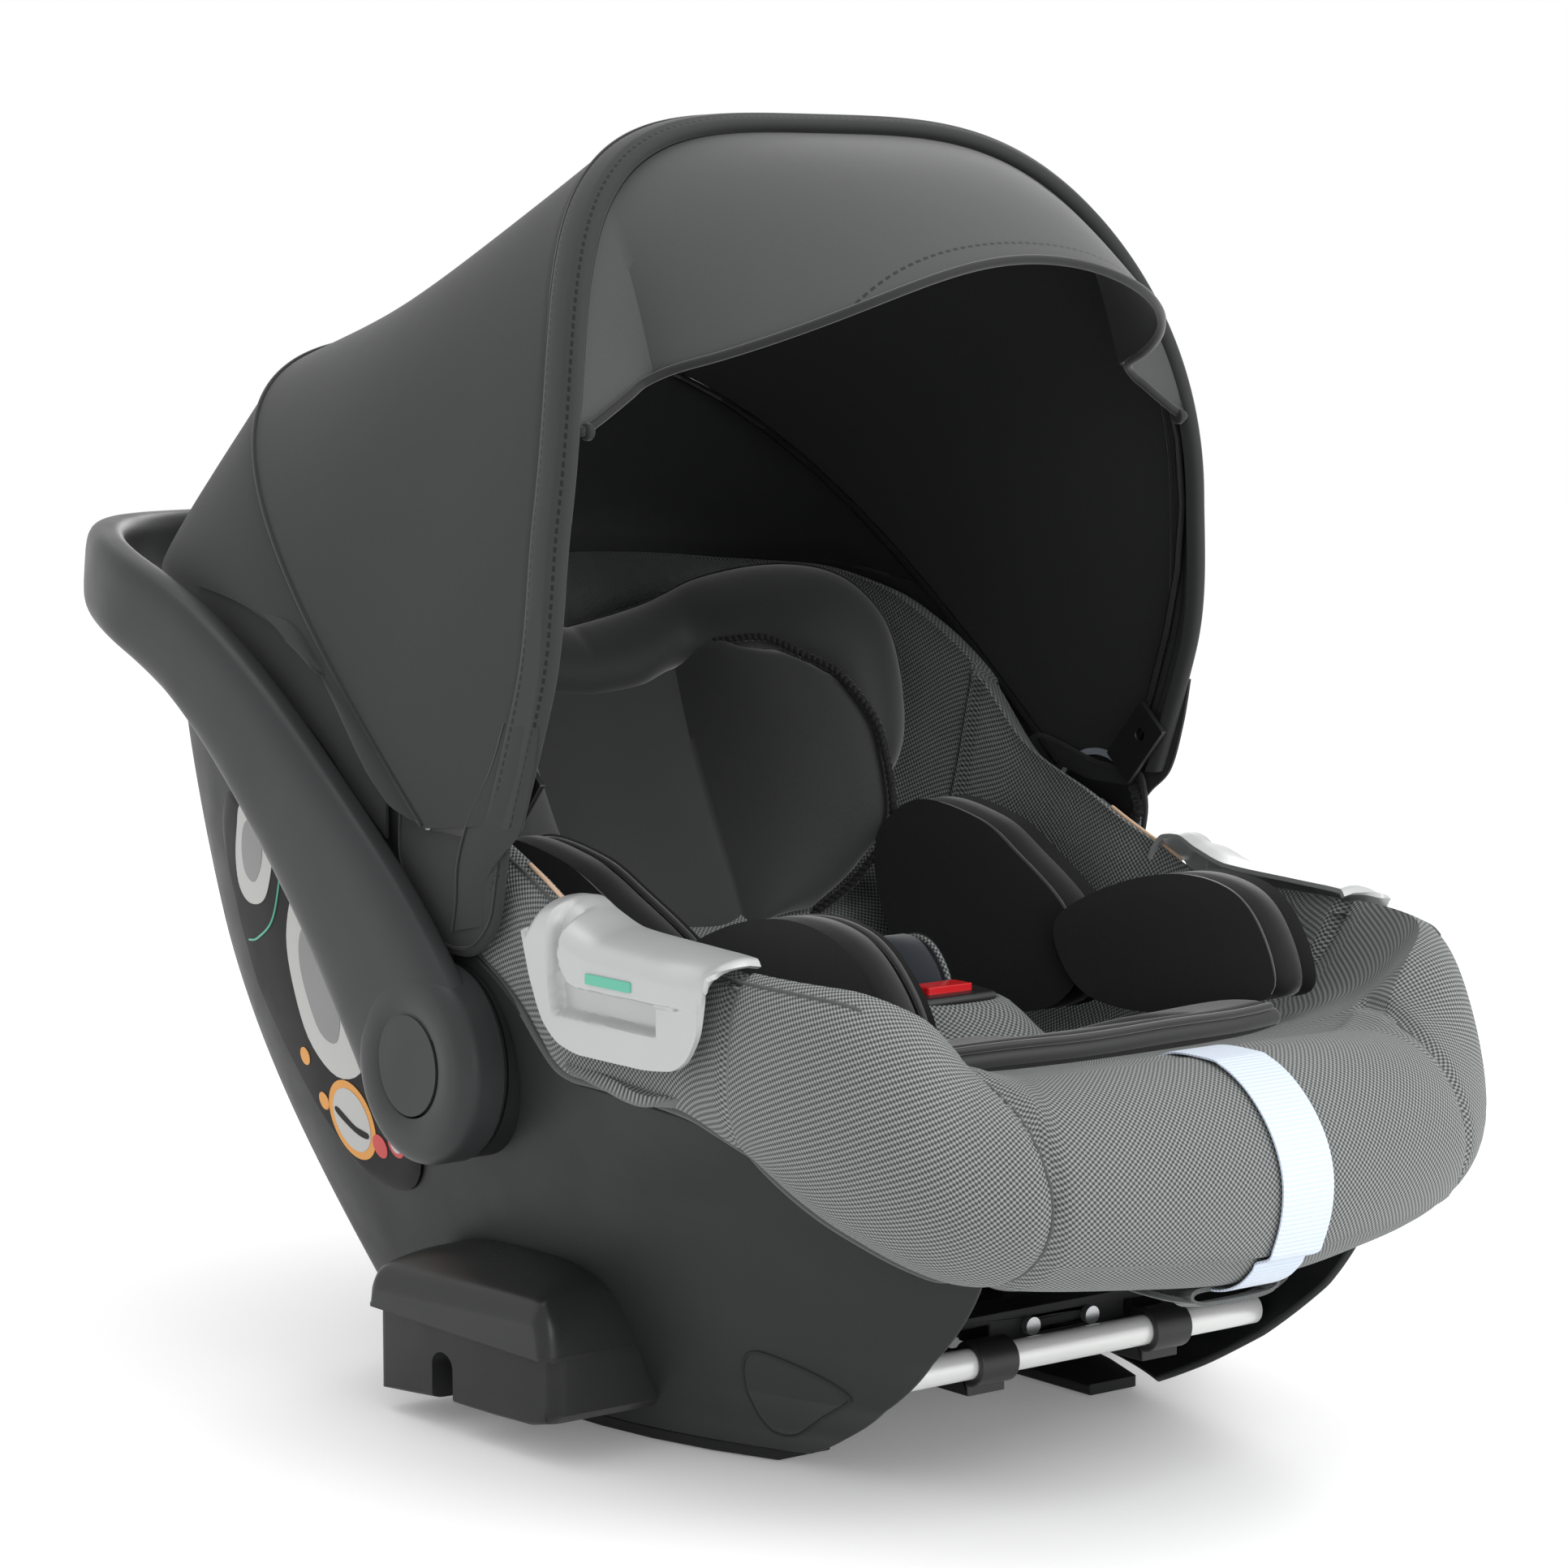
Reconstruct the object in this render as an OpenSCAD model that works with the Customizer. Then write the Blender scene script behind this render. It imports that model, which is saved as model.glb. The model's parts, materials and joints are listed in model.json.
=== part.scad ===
// Infant car seat: tub shell with a folding carry handle, a two-bow canopy and a padded seat.
// +Z is up and the child's feet point to -Y. The origin is on the floor, under the middle of the box.

/* [Shell] */
// Half width of the shell at its rim
shell_half = 195; // [190:1:196]
// Half width of the shell where it meets the floor
floor_half = 140; // [130:1:150]
// Wall thickness of the shell
shell_wall = 4; // [3:0.5:5]
// Y of the front of the footprint
floor_front = -160; // [-170:1:-150]
// Y of the back of the footprint
floor_back = 133; // [125:1:140]
// Y where the sides start to turn round the back
side_end = 40; // [30:1:50]
// Squareness of the back in plan
back_square = 3.6; // [3:0.1:4.5]

/* [Handle] */
// Y of the handle pivot
pivot_y = -26; // [-30:1:-22]
// Z of the handle pivot
pivot_z = 176; // [172:1:180]
// Radius of the handle hub
handle_hub_r = 47; // [46:1:50]
// Thickness of the handle hub
handle_hub_t = 24.5; // [20:0.5:25]
// X of the outer face of the handle arms
handle_half = 222; // [222:1:226]
// Thickness of the handle arms
handle_t = 20.5; // [18:0.5:20.5]
// Y of the middle of the handle's cross bar, folded back
bar_y = 374.6; // [374:0.1:380]
// Z of the middle of the handle's cross bar, folded back
bar_z = 392; // [388:1:396]
// Corner radius of the handle, to its centreline
bow_r = 150; // [130:5:160]
// Radius of the push button in each hub
button_r = 23.5; // [20:0.5:25]

/* [Canopy] */
// Z of the canopy pivot
canopy_z = 262; // [258:1:266]
// Y of the canopy pivot
canopy_y = -33; // [-36:1:-30]
// Half width of the canopy over its fabric
canopy_half = 200.4; // [199:0.1:200.4]
// Height of the top of the canopy
canopy_top = 611; // [600:1:612]
// Distance of the rear bow's top from the canopy pivot
rear_reach = 378; // [360:1:380]
// Angle of the rear bow above the horizontal
rear_angle = 40; // [40:1:44]
// Thickness of the canopy fabric with its lining
fabric_t = 2; // [1.5:0.1:2]

/* [Seat] */
// Foremost Y of the padded nose
nose_front = -382.1; // [-386:0.1:-378]
// Thickness of the seat cover's padding
cover_t = 8; // [6:0.5:8]
// Width of the harness adjuster strap
strap_w = 30; // [25:1:38]

/* [Underside] */
// Radius of the rod that locks the seat to its base
rod_r = 7; // [6:0.5:8]
// Height of the rod's axis
rod_z = 53; // [51:1:55]
// Y of the rod's axis
rod_y = -238; // [-242:1:-234]
// Half the length of the rod
rod_end = 112; // [105:1:116]

/* [Hidden] */

// Steps along one side of the shell and of the seat cover, and over a canopy arch
side_steps = 22;
arch_steps = 36;
// Running clearance of every pin
run_gap = 0.06;

function mix(a, b, t) = a + (b - a) * t;
function clamp(v, a, b) = min(max(v, a), b);
function soft(c, n) = sign(c) * pow(abs(c), 2 / n);
function unit(v) = v / norm(v);
// Angle from 0 to 180 for t from 0 to 2, close-set at both ends so that superellipse points spread evenly
function even_angle(t) =
    t > 1 ? 180 - even_angle(2 - t) : 90 * pow(t, 1.8) / (pow(t, 1.8) + pow(1 - t, 1.8));
function bezier(a, b, c, t) = mix(mix(a, b, t), mix(b, c, t), t);

// --- solids from grids of points -------------------------------------------------------------

function quad(a, b, c, d) = [[a, b, c], [a, c, d]];
function flat(l) = [for (a = l) each a];

function grid_normal(g, i, j, wrap) =
    let (n = len(g), m = len(g[0]),
         a = wrap ? g[(i + 1) % n][j] - g[(i + n - 1) % n][j] : g[min(i + 1, n - 1)][j] - g[max(i - 1, 0)][j],
         b = g[i][min(j + 1, m - 1)] - g[i][max(j - 1, 0)],
         c = cross(a, b))
    norm(c) > 0.001 ? unit(c) : [0, 0, 1];

function grid_inside(g, t, wrap) =
    [for (i = [0 : len(g) - 1]) [for (j = [0 : len(g[0]) - 1]) g[i][j] - t * grid_normal(g, i, j, wrap)]];

// Closed solid between two grids of the same size; wrap joins the last row to the first
module slab(top, under, wrap = false) {
    n = len(top);
    m = len(top[0]);
    k = n * m;
    rows = wrap ? n : n - 1;
    faces = flat(concat(
        [for (i = [0 : rows - 1]) for (j = [0 : m - 2])
            let (a = i * m + j, b = ((i + 1) % n) * m + j)
            concat(quad(a, a + 1, b + 1, b), quad(k + a, k + b, k + b + 1, k + a + 1))],
        [for (i = [0 : rows - 1])
            let (a = i * m, b = ((i + 1) % n) * m)
            concat(quad(a, b, k + b, k + a),
                quad(b + m - 1, a + m - 1, k + a + m - 1, k + b + m - 1))],
        wrap ? [] : [for (j = [0 : m - 2])
            let (a = j, b = (n - 1) * m + j)
            concat(quad(a + 1, a, k + a, k + a + 1), quad(b, b + 1, k + b + 1, k + b))]));
    polyhedron(concat(flat(top), flat(under)), faces, 10);
}

module sheet(g, t, wrap = false) slab(g, grid_inside(g, t, wrap), wrap);

// Closed solid through a list of rings of equal length, each turning anticlockwise about the way ahead
module loft(rings) {
    n = len(rings);
    m = len(rings[0]);
    polyhedron(flat(rings), concat(
        flat([for (i = [0 : n - 2]) for (j = [0 : m - 1])
            quad(i * m + j, (i + 1) * m + j, (i + 1) * m + (j + 1) % m, i * m + (j + 1) % m)]),
        [[for (j = [0 : m - 1]) j]], [[for (j = [m - 1 : -1 : 0]) (n - 1) * m + j]]), 10);
}

// Round tube along points; up is any direction that the path never follows
module tube(path, r, up = [0, 1, 0], sides = 8) {
    n = len(path);
    loft([for (i = [0 : n - 1])
        let (t = unit(path[min(i + 1, n - 1)] - path[max(i - 1, 0)]),
             a = unit(cross(up, t)), b = cross(t, a))
        [for (k = [0 : sides - 1]) path[i] + r * (a * cos(360 * k / sides) + b * sin(360 * k / sides))]]);
}

// Flat outline in the Y-Z plane, standing from x0 to x1
module side_plate(points, x0, x1) {
    translate([x0, 0, 0]) rotate([90, 0, 90]) linear_extrude(x1 - x0) polygon(points);
}

// The same with rounded corners
module pad(points, x0, x1, r) {
    translate([x0, 0, 0]) rotate([90, 0, 90]) linear_extrude(x1 - x0)
        offset(r, $fn = 24) offset(-r) polygon(points);
}

module along_x(x0, x1, y, z, r) translate([x0, y, z]) rotate([0, 90, 0]) cylinder(h = x1 - x0, r = r);

// Right-hand parts have x > 0; the left-hand ones are their mirror image
module left() mirror([1, 0, 0]) children();

// --- the tub's outer surface -----------------------------------------------------------------

function front_y(z) = floor_front - 160 * sin(90 * pow(clamp(z / 150, 0, 1), 0.8));
function back_y(z) = floor_back + 200 * sin(90 * pow(clamp(z / 400, 0, 1), 1.08));
function full_half(z) = mix(floor_half, shell_half, sin(90 * min(z, 220) / 220));
// How quickly the sides draw in towards the front at each height
function draw_in(z) = lookup(z, [[0, 1.13], [20, 0.7], [40, 0.49], [70, 0.38], [130, 0.35], [176, 0.08]]);
function side_x(y, z) = full_half(z) * (1 - draw_in(z) * pow(max(0, -20 - y) / 300, 2.2));
// Plan position for u from 0 at the front to 1 at the middle of the back
function tub_xy(u, z, out = 0) =
    u < 0.5
    ? [side_x(mix(front_y(z), side_end, 2 * u), z) + out, mix(front_y(z), side_end, 2 * u)]
    : let (a = even_angle(2 * u - 1))
      [(full_half(z) + out) * soft(cos(a), back_square),
       side_end + (back_y(z) + out - side_end) * soft(sin(a), back_square)];
// Height of the shell's rim along the seat: low at the nose, round the hub, then up the back
function rim_z(y) = lookup(y, [[-320, 120], [-292, 124], [-267, 131], [-245, 145], [-232, 155],
    [-199, 171], [-145, 176], [-107, 178], [-98, 186], [-79, 204], [-59, 218], [-36, 229], [0, 262],
    [40, 316], [77, 340], [115, 358], [152, 366], [333, 372]]);
function plan_y(u) = tub_xy(u, u < 0.5 ? 150 : 370)[1];

// Wall between two fractions of the height, for u from u0 at both sides
function tub_grid(u0, z0, drop, out, cols) =
    [for (i = [-side_steps : side_steps])
        let (u = mix(1, u0, abs(i) / side_steps), top = rim_z(plan_y(u)) - drop)
        [for (j = [0 : cols])
            let (z = mix(z0, top, j / cols), p = tub_xy(u, z, out))
            [i < 0 ? p[0] : -p[0], p[1], z]]];

// The tub as one filled solid up to z1, grown by out, for trimming what is fixed to it
module tub_core(out, z0, z1) {
    loft([for (k = [0 : 6])
        let (z = mix(z0, z1, k / 6))
        [for (i = [-18 : 18])
            let (p = tub_xy(1 - abs(i) / 18, clamp(z, 0, 400), out))
            [i < 0 ? p[0] : -p[0], p[1], z]]]);
}

// --- the seat's inner surface ----------------------------------------------------------------

// Height of the seat along its middle, from the nose down to the hips and up the back
function seat_z(y) = lookup(y, [[-345, 193], [-280, 192], [-230, 186], [-180, 172], [-130, 155],
    [-80, 142], [-40, 140], [0, 155], [60, 205], [120, 268], [180, 328], [240, 372], [320, 386]]);

// w runs from 0 at the middle of the nose, along the side, to 1 at the middle of the back
nose_share = 0.3;
side_share = 0.6;
side_start = -225;
function nose_turn(w) = 90 * w / nose_share;
function side_y(w) = mix(side_start, side_end, (w - nose_share) / (side_share - nose_share));
function back_t(w) = (w - side_share) / (1 - side_share);
function back_w_xy(w, out) = tub_xy(0.5 + back_t(w) / 2, 360, out);
function crest_z(w) = lookup(w, [[0, 195], [0.1, 196], [0.15, 206], [0.2, 228], [0.25, 239], [0.3, 241],
    [0.4, 241], [0.45, 256], [0.5, 276], [0.555, 296], [0.6, 331], [0.64, 355], [0.68, 373],
    [0.72, 380], [1, 386]]);
// Outermost line of the cover
function bulge_out(w) = lookup(w, [[0.3, 4], [0.42, 3], [0.48, -1.5], [1, -1.5]]);
function bulge_xy(w) =
    w < nose_share
    ? [shell_half * soft(sin(nose_turn(w)), 2.8),
       side_start - 5 + (nose_front - side_start + 5) * soft(cos(nose_turn(w)), 2.8)]
    : w < side_share ? [side_x(max(side_y(w), -150), 176) + bulge_out(w), side_y(w)]
    : back_w_xy(w, bulge_out(w));
// Lower hem of the cover
function hem_z(w) =
    w < nose_share ? lookup(w, [[0, 99], [0.15, 110], [0.22, 130], [0.3, 160]])
    : (w < side_share ? rim_z(side_y(w)) : rim_z(back_w_xy(w, 0)[1])) + 0.8;
function hem_xy(w) =
    w < nose_share
    ? [(side_x(side_start, 160) + 2) * sin(nose_turn(w)), side_start - 100 * cos(nose_turn(w))]
    : w < side_share ? [side_x(side_y(w), hem_z(w)) + min(1.5, bulge_out(w)), side_y(w)]
    : back_w_xy(w, bulge_out(w));
// Crest of the side rails and nose, inset from the bulge
function crest_in(w) = lookup(w, [[0, 53], [0.15, 46], [0.24, 22], [0.3, 14], [1, 14]]);
function inward(w) =
    let (d = 0.002, a = bulge_xy(clamp(w - d, 0, 1)), b = bulge_xy(clamp(w + d, 0, 1)), t = unit(b - a))
    w < 0.004 ? [0, 1] : w > 0.996 ? [0, -1] : [-t[1], t[0]];
function crest_xy(w) = bulge_xy(w) + crest_in(w) * inward(w);
// Edge of the opening that the centre panel of the cover fills
slot_half = 34;
function slot_xy(w) =
    w < nose_share ? [slot_half * sin(nose_turn(w)), -190 - 20 * cos(nose_turn(w))]
    : w < side_share ? [slot_half, mix(-190, 40, (w - nose_share) / (side_share - nose_share))]
    : [slot_half * cos(90 * clamp((back_t(w) - 0.7) / 0.3, 0, 1)), mix(40, 190, min(1, back_t(w) / 0.7))];

function cover_section(w) =
    let (h = hem_xy(w), e = bulge_xy(w), c = crest_xy(w), s = slot_xy(w),
         z0 = hem_z(w), z2 = crest_z(w), z1 = mix(z0, z2, 0.5))
    concat(
        [for (a = [0, 30, 60]) concat(mix(h, e, sin(a)), [mix(z1, z0, cos(a))])],
        [for (a = [0, 30, 60, 90]) concat(mix(e, c, 1 - cos(a)), [mix(z1, z2, sin(a))])],
        [for (t = [0.07, 0.15, 0.27, 0.45, 0.7, 1])
            let (p = mix(c, s, t))
            concat(p, [mix(seat_z(p[1]), z2, pow(1 - t, 6))])]);

cover_grid = [for (i = [0 : 2 * side_steps - 1])
    let (w = i <= side_steps ? i / side_steps : 2 - i / side_steps)
    [for (p = cover_section(w)) i <= side_steps ? p : [-p[0], p[1], p[2]]]];

// Band under the seat's middle, from depth a to depth b, between two Y values
function seat_band(y0, y1, a, b, n = 16) = concat(
    [for (i = [0 : n]) let (y = mix(y0, y1, i / n)) [y, seat_z(y) - a]],
    [for (i = [n : -1 : 0]) let (y = mix(y0, y1, i / n)) [y, seat_z(y) - b]]);

// --- shell and what is fixed to it -----------------------------------------------------------

module outer_shell() color("#3c3e3d") difference() {
    union() {
        sheet(tub_grid(0, 6.2, 0, 0, 9), shell_wall);
        // Bosses that hold the rod's ends
        for (s = [-1, 1]) along_x(s * 111 - 11, s * 111 + 11, rod_y, rod_z, rod_r + 4, $fn = 48);
    }
    along_x(-rod_end - 0.3, rod_end + 0.3, rod_y, rod_z, rod_r + 0.3, $fn = 48);
}

// Flat rim that the seat stands on, open in the middle for the base's locks
module base_rim() color("#353736") linear_extrude(5.6) difference() {
    polygon(concat(
        [for (i = [-12 : 12]) let (p = tub_xy(1 - abs(i) / 12, 0)) [i < 0 ? p[0] : -p[0], p[1]]]));
    translate([-floor_half + 34, -62]) square([2 * floor_half - 68, 150]);
    translate([-80, floor_front - 1]) square([160, 71]);
}

module foam_liner() color("#d9dad6")
    sheet(tub_grid(0.22, 60, 14, -shell_wall - 2, 7), 6);

module seat_pan() color("#4a4b4b")
    side_plate(seat_band(-300, 240, cover_t + 6, cover_t + 10), -94, 94);

module hub_flange_right() color("#2f3130") difference() {
    union() {
        $fn = 96;
        along_x(160, handle_half - handle_hub_t - 0.3, pivot_y, pivot_z, 46);
        // Stub axle that the handle turns on
        along_x(160, handle_half - 12.5, pivot_y, pivot_z, 12);
    }
    tub_core(0.4, 100, 240);
}

adapter_profile = [[-111, 48], [-110, 66], [-103, 81], [-79, 87], [-48, 88.5], [-15, 86], [20, 78], [33, 68], [35, 60], [35, 41]];
module adapter_housing_right() color("#2b2d2c") difference() {
    intersection() {
        side_plate(adapter_profile, 120, 207);
        // The cap slopes away from the shell
        rotate([90, 0, 0]) linear_extrude(400, center = true)
            polygon([[120, 30], [207, 30], [207, 66], [203, 72], [172, 89], [120, 104]]);
    }
    tub_core(0.4, 20, 120);
}

module adapter_foot_right() color("#343635") difference() {
    side_plate([[-97, 17], [-97, 47], [-40, 43.8], [33, 40.7], [35, 8], [-12, 10.6], [-34, 11]], 120, 201);
    // Slot that slides over the pushchair's post
    translate([186, -28, 0]) cube([30, 8, 32]);
    translate([186, -24, 32]) rotate([0, 90, 0]) cylinder(h = 30, r = 4, $fn = 32);
    tub_core(0.4, 0, 80);
}

module access_plug_right() color("#3a3c3b") intersection() {
    pad([[-180, 17], [-180, 58], [-226, 44], [-226, 38]], 100, 190, 3);
    difference() {
        tub_core(3, 2, 90);
        tub_core(1.2, 0, 92);
    }
}

module side_panel_right() color("#161717") intersection() {
    pad([[28, 104], [76, 101], [106, 123], [156, 184], [180, 228], [190, 256], [188, 276],
        [172, 286], [120, 240], [60, 170], [24, 124]], 90, 200, 5);
    difference() {
        tub_core(3, 90, 300);
        tub_core(1.4, 88, 302);
    }
}

guide_profile = [[-95, 258], [-106, 262], [-137, 252], [-231, 247], [-229, 232], [-218, 206],
    [-205, 196], [-140, 198], [-118, 211], [-104, 230]];
module guide_section() polygon([[178, 243], [192, 241], [201, 228], [202.5, 180],
    [207, 180], [206, 236], [198, 247], [178, 250]]);
module belt_guide_right() color("#c8cac9") difference() {
    union() {
        intersection() {
            side_plate(guide_profile, 150, 220);
            rotate([90, 0, 0]) linear_extrude(400) guide_section();
        }
        // Round boss at the back
        $fn = 48;
        along_x(204, 209, -119, 234, 17);
        // Bridge over the slot
        translate([204, -205, 230]) rotate([90, 0, 90]) linear_extrude(5.5) {
            translate([0, -6]) square([72, 12]);
            circle(6, $fn = 32);
            translate([72, 0]) circle(6, $fn = 32);
        }
    }
    // Pocket that the lap belt runs in
    translate([203.6, -196, 207]) cube([20, 56, 11]);
    translate([205.5, -182, 228]) cube([10, 34, 5]);
    // Clear of the crest of the cover
    intersection() {
        slab([for (r = cover_grid) [for (p = r) [p[0], p[1], p[2] + 1.6]]],
            [for (r = cover_grid) [for (p = r) [p[0], p[1], p[2] - 30]]], true);
        translate([150, -260, 200]) cube([60, 220, 70]);
    }
}

module guide_mark_right() color("#5fbf9f")
    translate([205.6, -181.8, 228.2]) cube([4.2, 33.6, 4.6]);

module base_rod() color("#e6e7e6") {
    $fn = 48;
    along_x(-rod_end, rod_end, rod_y, rod_z, rod_r);
}

clamp_x = [-64, 42];
module rod_clamps() color("#2a2c2c") for (x = clamp_x) difference() {
    union() {
        $fn = 48;
        along_x(x, x + 22, rod_y, rod_z, rod_r + 3.5);
        translate([x, rod_y, rod_z - 15]) cube([22, 42, 12]);
    }
    $fn = 48;
    along_x(x - 1, x + 23, rod_y, rod_z, rod_r + run_gap);
}

module rod_bracket() color("#323434") difference() {
    translate([-86, rod_y + 12, rod_z + 1]) cube([172, 22, 16]);
    for (x = clamp_x) translate([x - 0.5, rod_y, rod_z - 30]) cube([23, 60, 42]);
    // Screw holes
    for (x = [-18, 18]) translate([x, rod_y, rod_z + 9]) rotate([-90, 0, 0]) cylinder(h = 60, r = 2.6, $fn = 32);
}

module bracket_screws() color("#b9bbbb") for (x = [-18, 18]) translate([x, rod_y + 8, rod_z + 9]) rotate([-90, 0, 0]) {
    cylinder(h = 3.8, r = 4.2, $fn = 32);
    cylinder(h = 24, r = 2.5, $fn = 32);
}

// --- seat ------------------------------------------------------------------------------------

module seat_cover() color("#6c7270") difference() {
    sheet(cover_grid, cover_t, true);
    // The cover's skirt hangs outside the shell's wall
    sheet(tub_grid(0, 70, -0.5, 0.5, 5), shell_wall + 1);
}

module cover_centre() color("#676d6b")
    side_plate(seat_band(-187, 186, 0.2, cover_t), -32.4, 32.4);

module insert_pad() color("#1b1c1d") difference() {
    side_plate(seat_band(-268, 2, -16, -3), -94, 94);
    // Opening for the crotch strap and buckle
    translate([-34, -238, 140]) cube([68, 130, 90]);
}

module hip_wing_right() color("#1d1e1f")
    pad([[-250, 206], [-246, 236], [-222, 250], [-176, 251], [-146, 236], [-128, 210], [-134, 192],
        [-180, 192], [-232, 203]], 98, 130, 8);

module side_wing_right() color("#1b1c1d")
    pad([[-112, 200], [-102, 222], [-64, 252], [-14, 270], [30, 268], [48, 246], [30, 214], [0, 186],
        [-60, 176], [-104, 182]], 98, 130, 8);

// The head support leans less than the back, so it stands off the cover lower down
module head_pillow() color("#232425")
    pad([[50, 214], [122, 330], [150, 372], [186, 372], [196, 356], [120, 280], [70, 226]], -58, 58, 6);
module head_wing_right() color("#252627")
    pad([[14, 226], [10, 262], [28, 322], [70, 346], [118, 342], [112, 290], [60, 240], [34, 216]],
        62, 96, 8);
module head_bolster() color("#28292a") difference() {
    pad([[70, 300], [60, 346], [96, 384], [150, 396], [190, 384], [196, 366], [130, 296], [86, 274]],
        -124, 124, 8);
    translate([-97, 0, 200]) cube([194, 122.5, 200]);
    translate([-59, 0, 180]) cube([118, 220, 194.5]);
    translate([-97, 0, 180]) cube([194, 119.5, 200]);
}

module crotch_pad() color("#20262b")
    pad([[-128, 174], [-126, 204], [-112, 222], [-94, 224], [-84, 214], [-96, 202], [-106, 178]], -20, 20, 4);
module buckle_body() color("#1a1a1b") difference() {
    pad([[-158, 178], [-158, 203], [-131, 205], [-131, 178]], -21, 21, 3);
    translate([-14, -150, 196.4]) cube([28, 14, 20]);
}
module buckle_tongues() color("#b4b6b8") for (s = [-1, 1])
    translate([s * 25 - 3.5, -152, 190]) cube([7, 12, 3]);
module buckle_button() color("#d81f26")
    translate([-13.7, -149.7, 199.8]) cube([27.4, 13.4, 7.2]);

// Nose of the cover in the middle: an oval from the hem round the front to the crest
nose_mid_y = nose_front + crest_in(0);
nose_mid_z = (hem_z(0) + crest_z(0)) / 2;
function nose_arc(out, a) =
    let (b = bulge_xy(0)[1])
    [nose_mid_y + (b - out - nose_mid_y) * cos(a), nose_mid_z + ((crest_z(0) - hem_z(0)) / 2 + out) * sin(a)];
strap_turn = [-58, 88];
function strap_side(out) = [for (i = [0 : 20]) nose_arc(out, mix(strap_turn[0], strap_turn[1], i / 20))];
module adjuster_strap() color("#cfd9e6")
    side_plate(concat(strap_side(3), [for (i = [20 : -1 : 0]) strap_side(1.6)[i]]), -strap_w / 2, strap_w / 2);
// Loop of webbing that holds the strap's end under the nose
module strap_loop() color("#7d8482") difference() {
    translate([-24, nose_arc(3, -66)[0] - 1, nose_arc(3, -66)[1] - 9]) cube([48, 24, 6]);
    translate([-19, nose_arc(3, -66)[0] - 2, nose_arc(3, -66)[1] - 7.2]) cube([38, 30, 2.6]);
}
module adjuster_housing() color("#303232") difference() {
    translate([-24, -318, 148]) cube([48, 54, 20]);
    translate([-18, -319, 152]) cube([36, 50, 30]);
}
lever_y = -272;
lever_z = 160;
module adjuster_lever() color("#8c8f90") {
    $fn = 24;
    along_x(-15, 15, lever_y - 4, lever_z, 3);
    translate([-15, lever_y - 36, lever_z - 2]) cube([30, 32, 4]);
}

// --- handle ----------------------------------------------------------------------------------

bar_x = handle_half - handle_t / 2;
arm_bend = [138, 396];
function arm_at(t) = bezier([pivot_y, pivot_z], arm_bend, [bar_y, bar_z], t);
arm_steps = 60;
// Length along the arm's curve up to each step
arm_len = [for (i = 0, s = 0; i <= arm_steps;
    s = s + (i < arm_steps ? norm(arm_at((i + 1) / arm_steps) - arm_at(i / arm_steps)) : 0), i = i + 1) [s, i / arm_steps]];
arm_total = arm_len[arm_steps][0];
function arm_param(s) = lookup(s, arm_len);
// Centreline of the handle from the right hub round to the left one: X and length along the arm
bow_path = concat(
    [for (i = [0 : 8]) [bar_x, mix(0, arm_total - bow_r, i / 8)]],
    [for (a = [10 : 10 : 90]) [bar_x - bow_r * (1 - cos(a)), arm_total - bow_r * (1 - sin(a))]],
    [for (a = [90 : -10 : 10]) [-bar_x + bow_r * (1 - cos(a)), arm_total - bow_r * (1 - sin(a))]],
    [for (i = [8 : -1 : 0]) [-bar_x, mix(0, arm_total - bow_r, i / 8)]]);
function arm_width(s) = lookup(s, [[0, 92], [60, 84], [120, 72], [200, 60], [280, 50], [arm_total, 38]]);
// The arms' centreline runs a little behind the curve where they are broad
function arm_shift(s) = lookup(s, [[0, 0], [60, 2], [150, 5], [280, 0]]);
// Rounded rectangle: thickness across the path, width square to the curve of the arms
function bow_ring(i) =
    let (n = len(bow_path), p = bow_path[i], d = unit(bow_path[min(i + 1, n - 1)] - bow_path[max(i - 1, 0)]),
         t = arm_param(p[1]), c = arm_at(t), k = unit(arm_at(min(1, t + 0.01)) - arm_at(max(0, min(1, t + 0.01) - 0.02))),
         along = [0, k[0], k[1]], wide = [0, k[1], -k[0]],
         out = [1, 0, 0] * d[1] - along * d[0],
         w = arm_width(p[1]) / 2, h = handle_t / 2, r = 6)
    [for (q = [[h, w - r], [h - r * 0.3, w - r * 0.3], [h - r, w], [r - h, w], [r * 0.3 - h, w - r * 0.3], [-h, w - r],
               [-h, r - w], [r * 0.3 - h, r * 0.3 - w], [r - h, -w], [h - r, -w], [h - r * 0.3, r * 0.3 - w], [h, r - w]])
        [p[0], c[0], c[1]] + q[0] * out + (q[1] + arm_shift(p[1])) * wide];

module handle_hub() along_x(handle_half - handle_hub_t, handle_half, pivot_y, pivot_z, handle_hub_r);
module handle_bores() {
    $fn = 96;
    // Bearing on the stub axle
    along_x(handle_half - handle_hub_t - 1, handle_half - 12, pivot_y, pivot_z, 12 + run_gap);
    // Pocket of the push button
    along_x(handle_half - 9.5, handle_half + 1, pivot_y, pivot_z, button_r + 0.1);
}
module carry_handle() color("#4a4b4e") difference() {
    $fn = 96;
    union() {
        loft([for (i = [0 : len(bow_path) - 1]) bow_ring(i)]);
        handle_hub();
        left() handle_hub();
    }
    handle_bores();
    left() handle_bores();
}

module handle_button_right() color("#3f4043") {
    $fn = 96;
    along_x(handle_half - 4.8, handle_half + 0.6, pivot_y, pivot_z, button_r);
}

// --- canopy ----------------------------------------------------------------------------------

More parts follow.
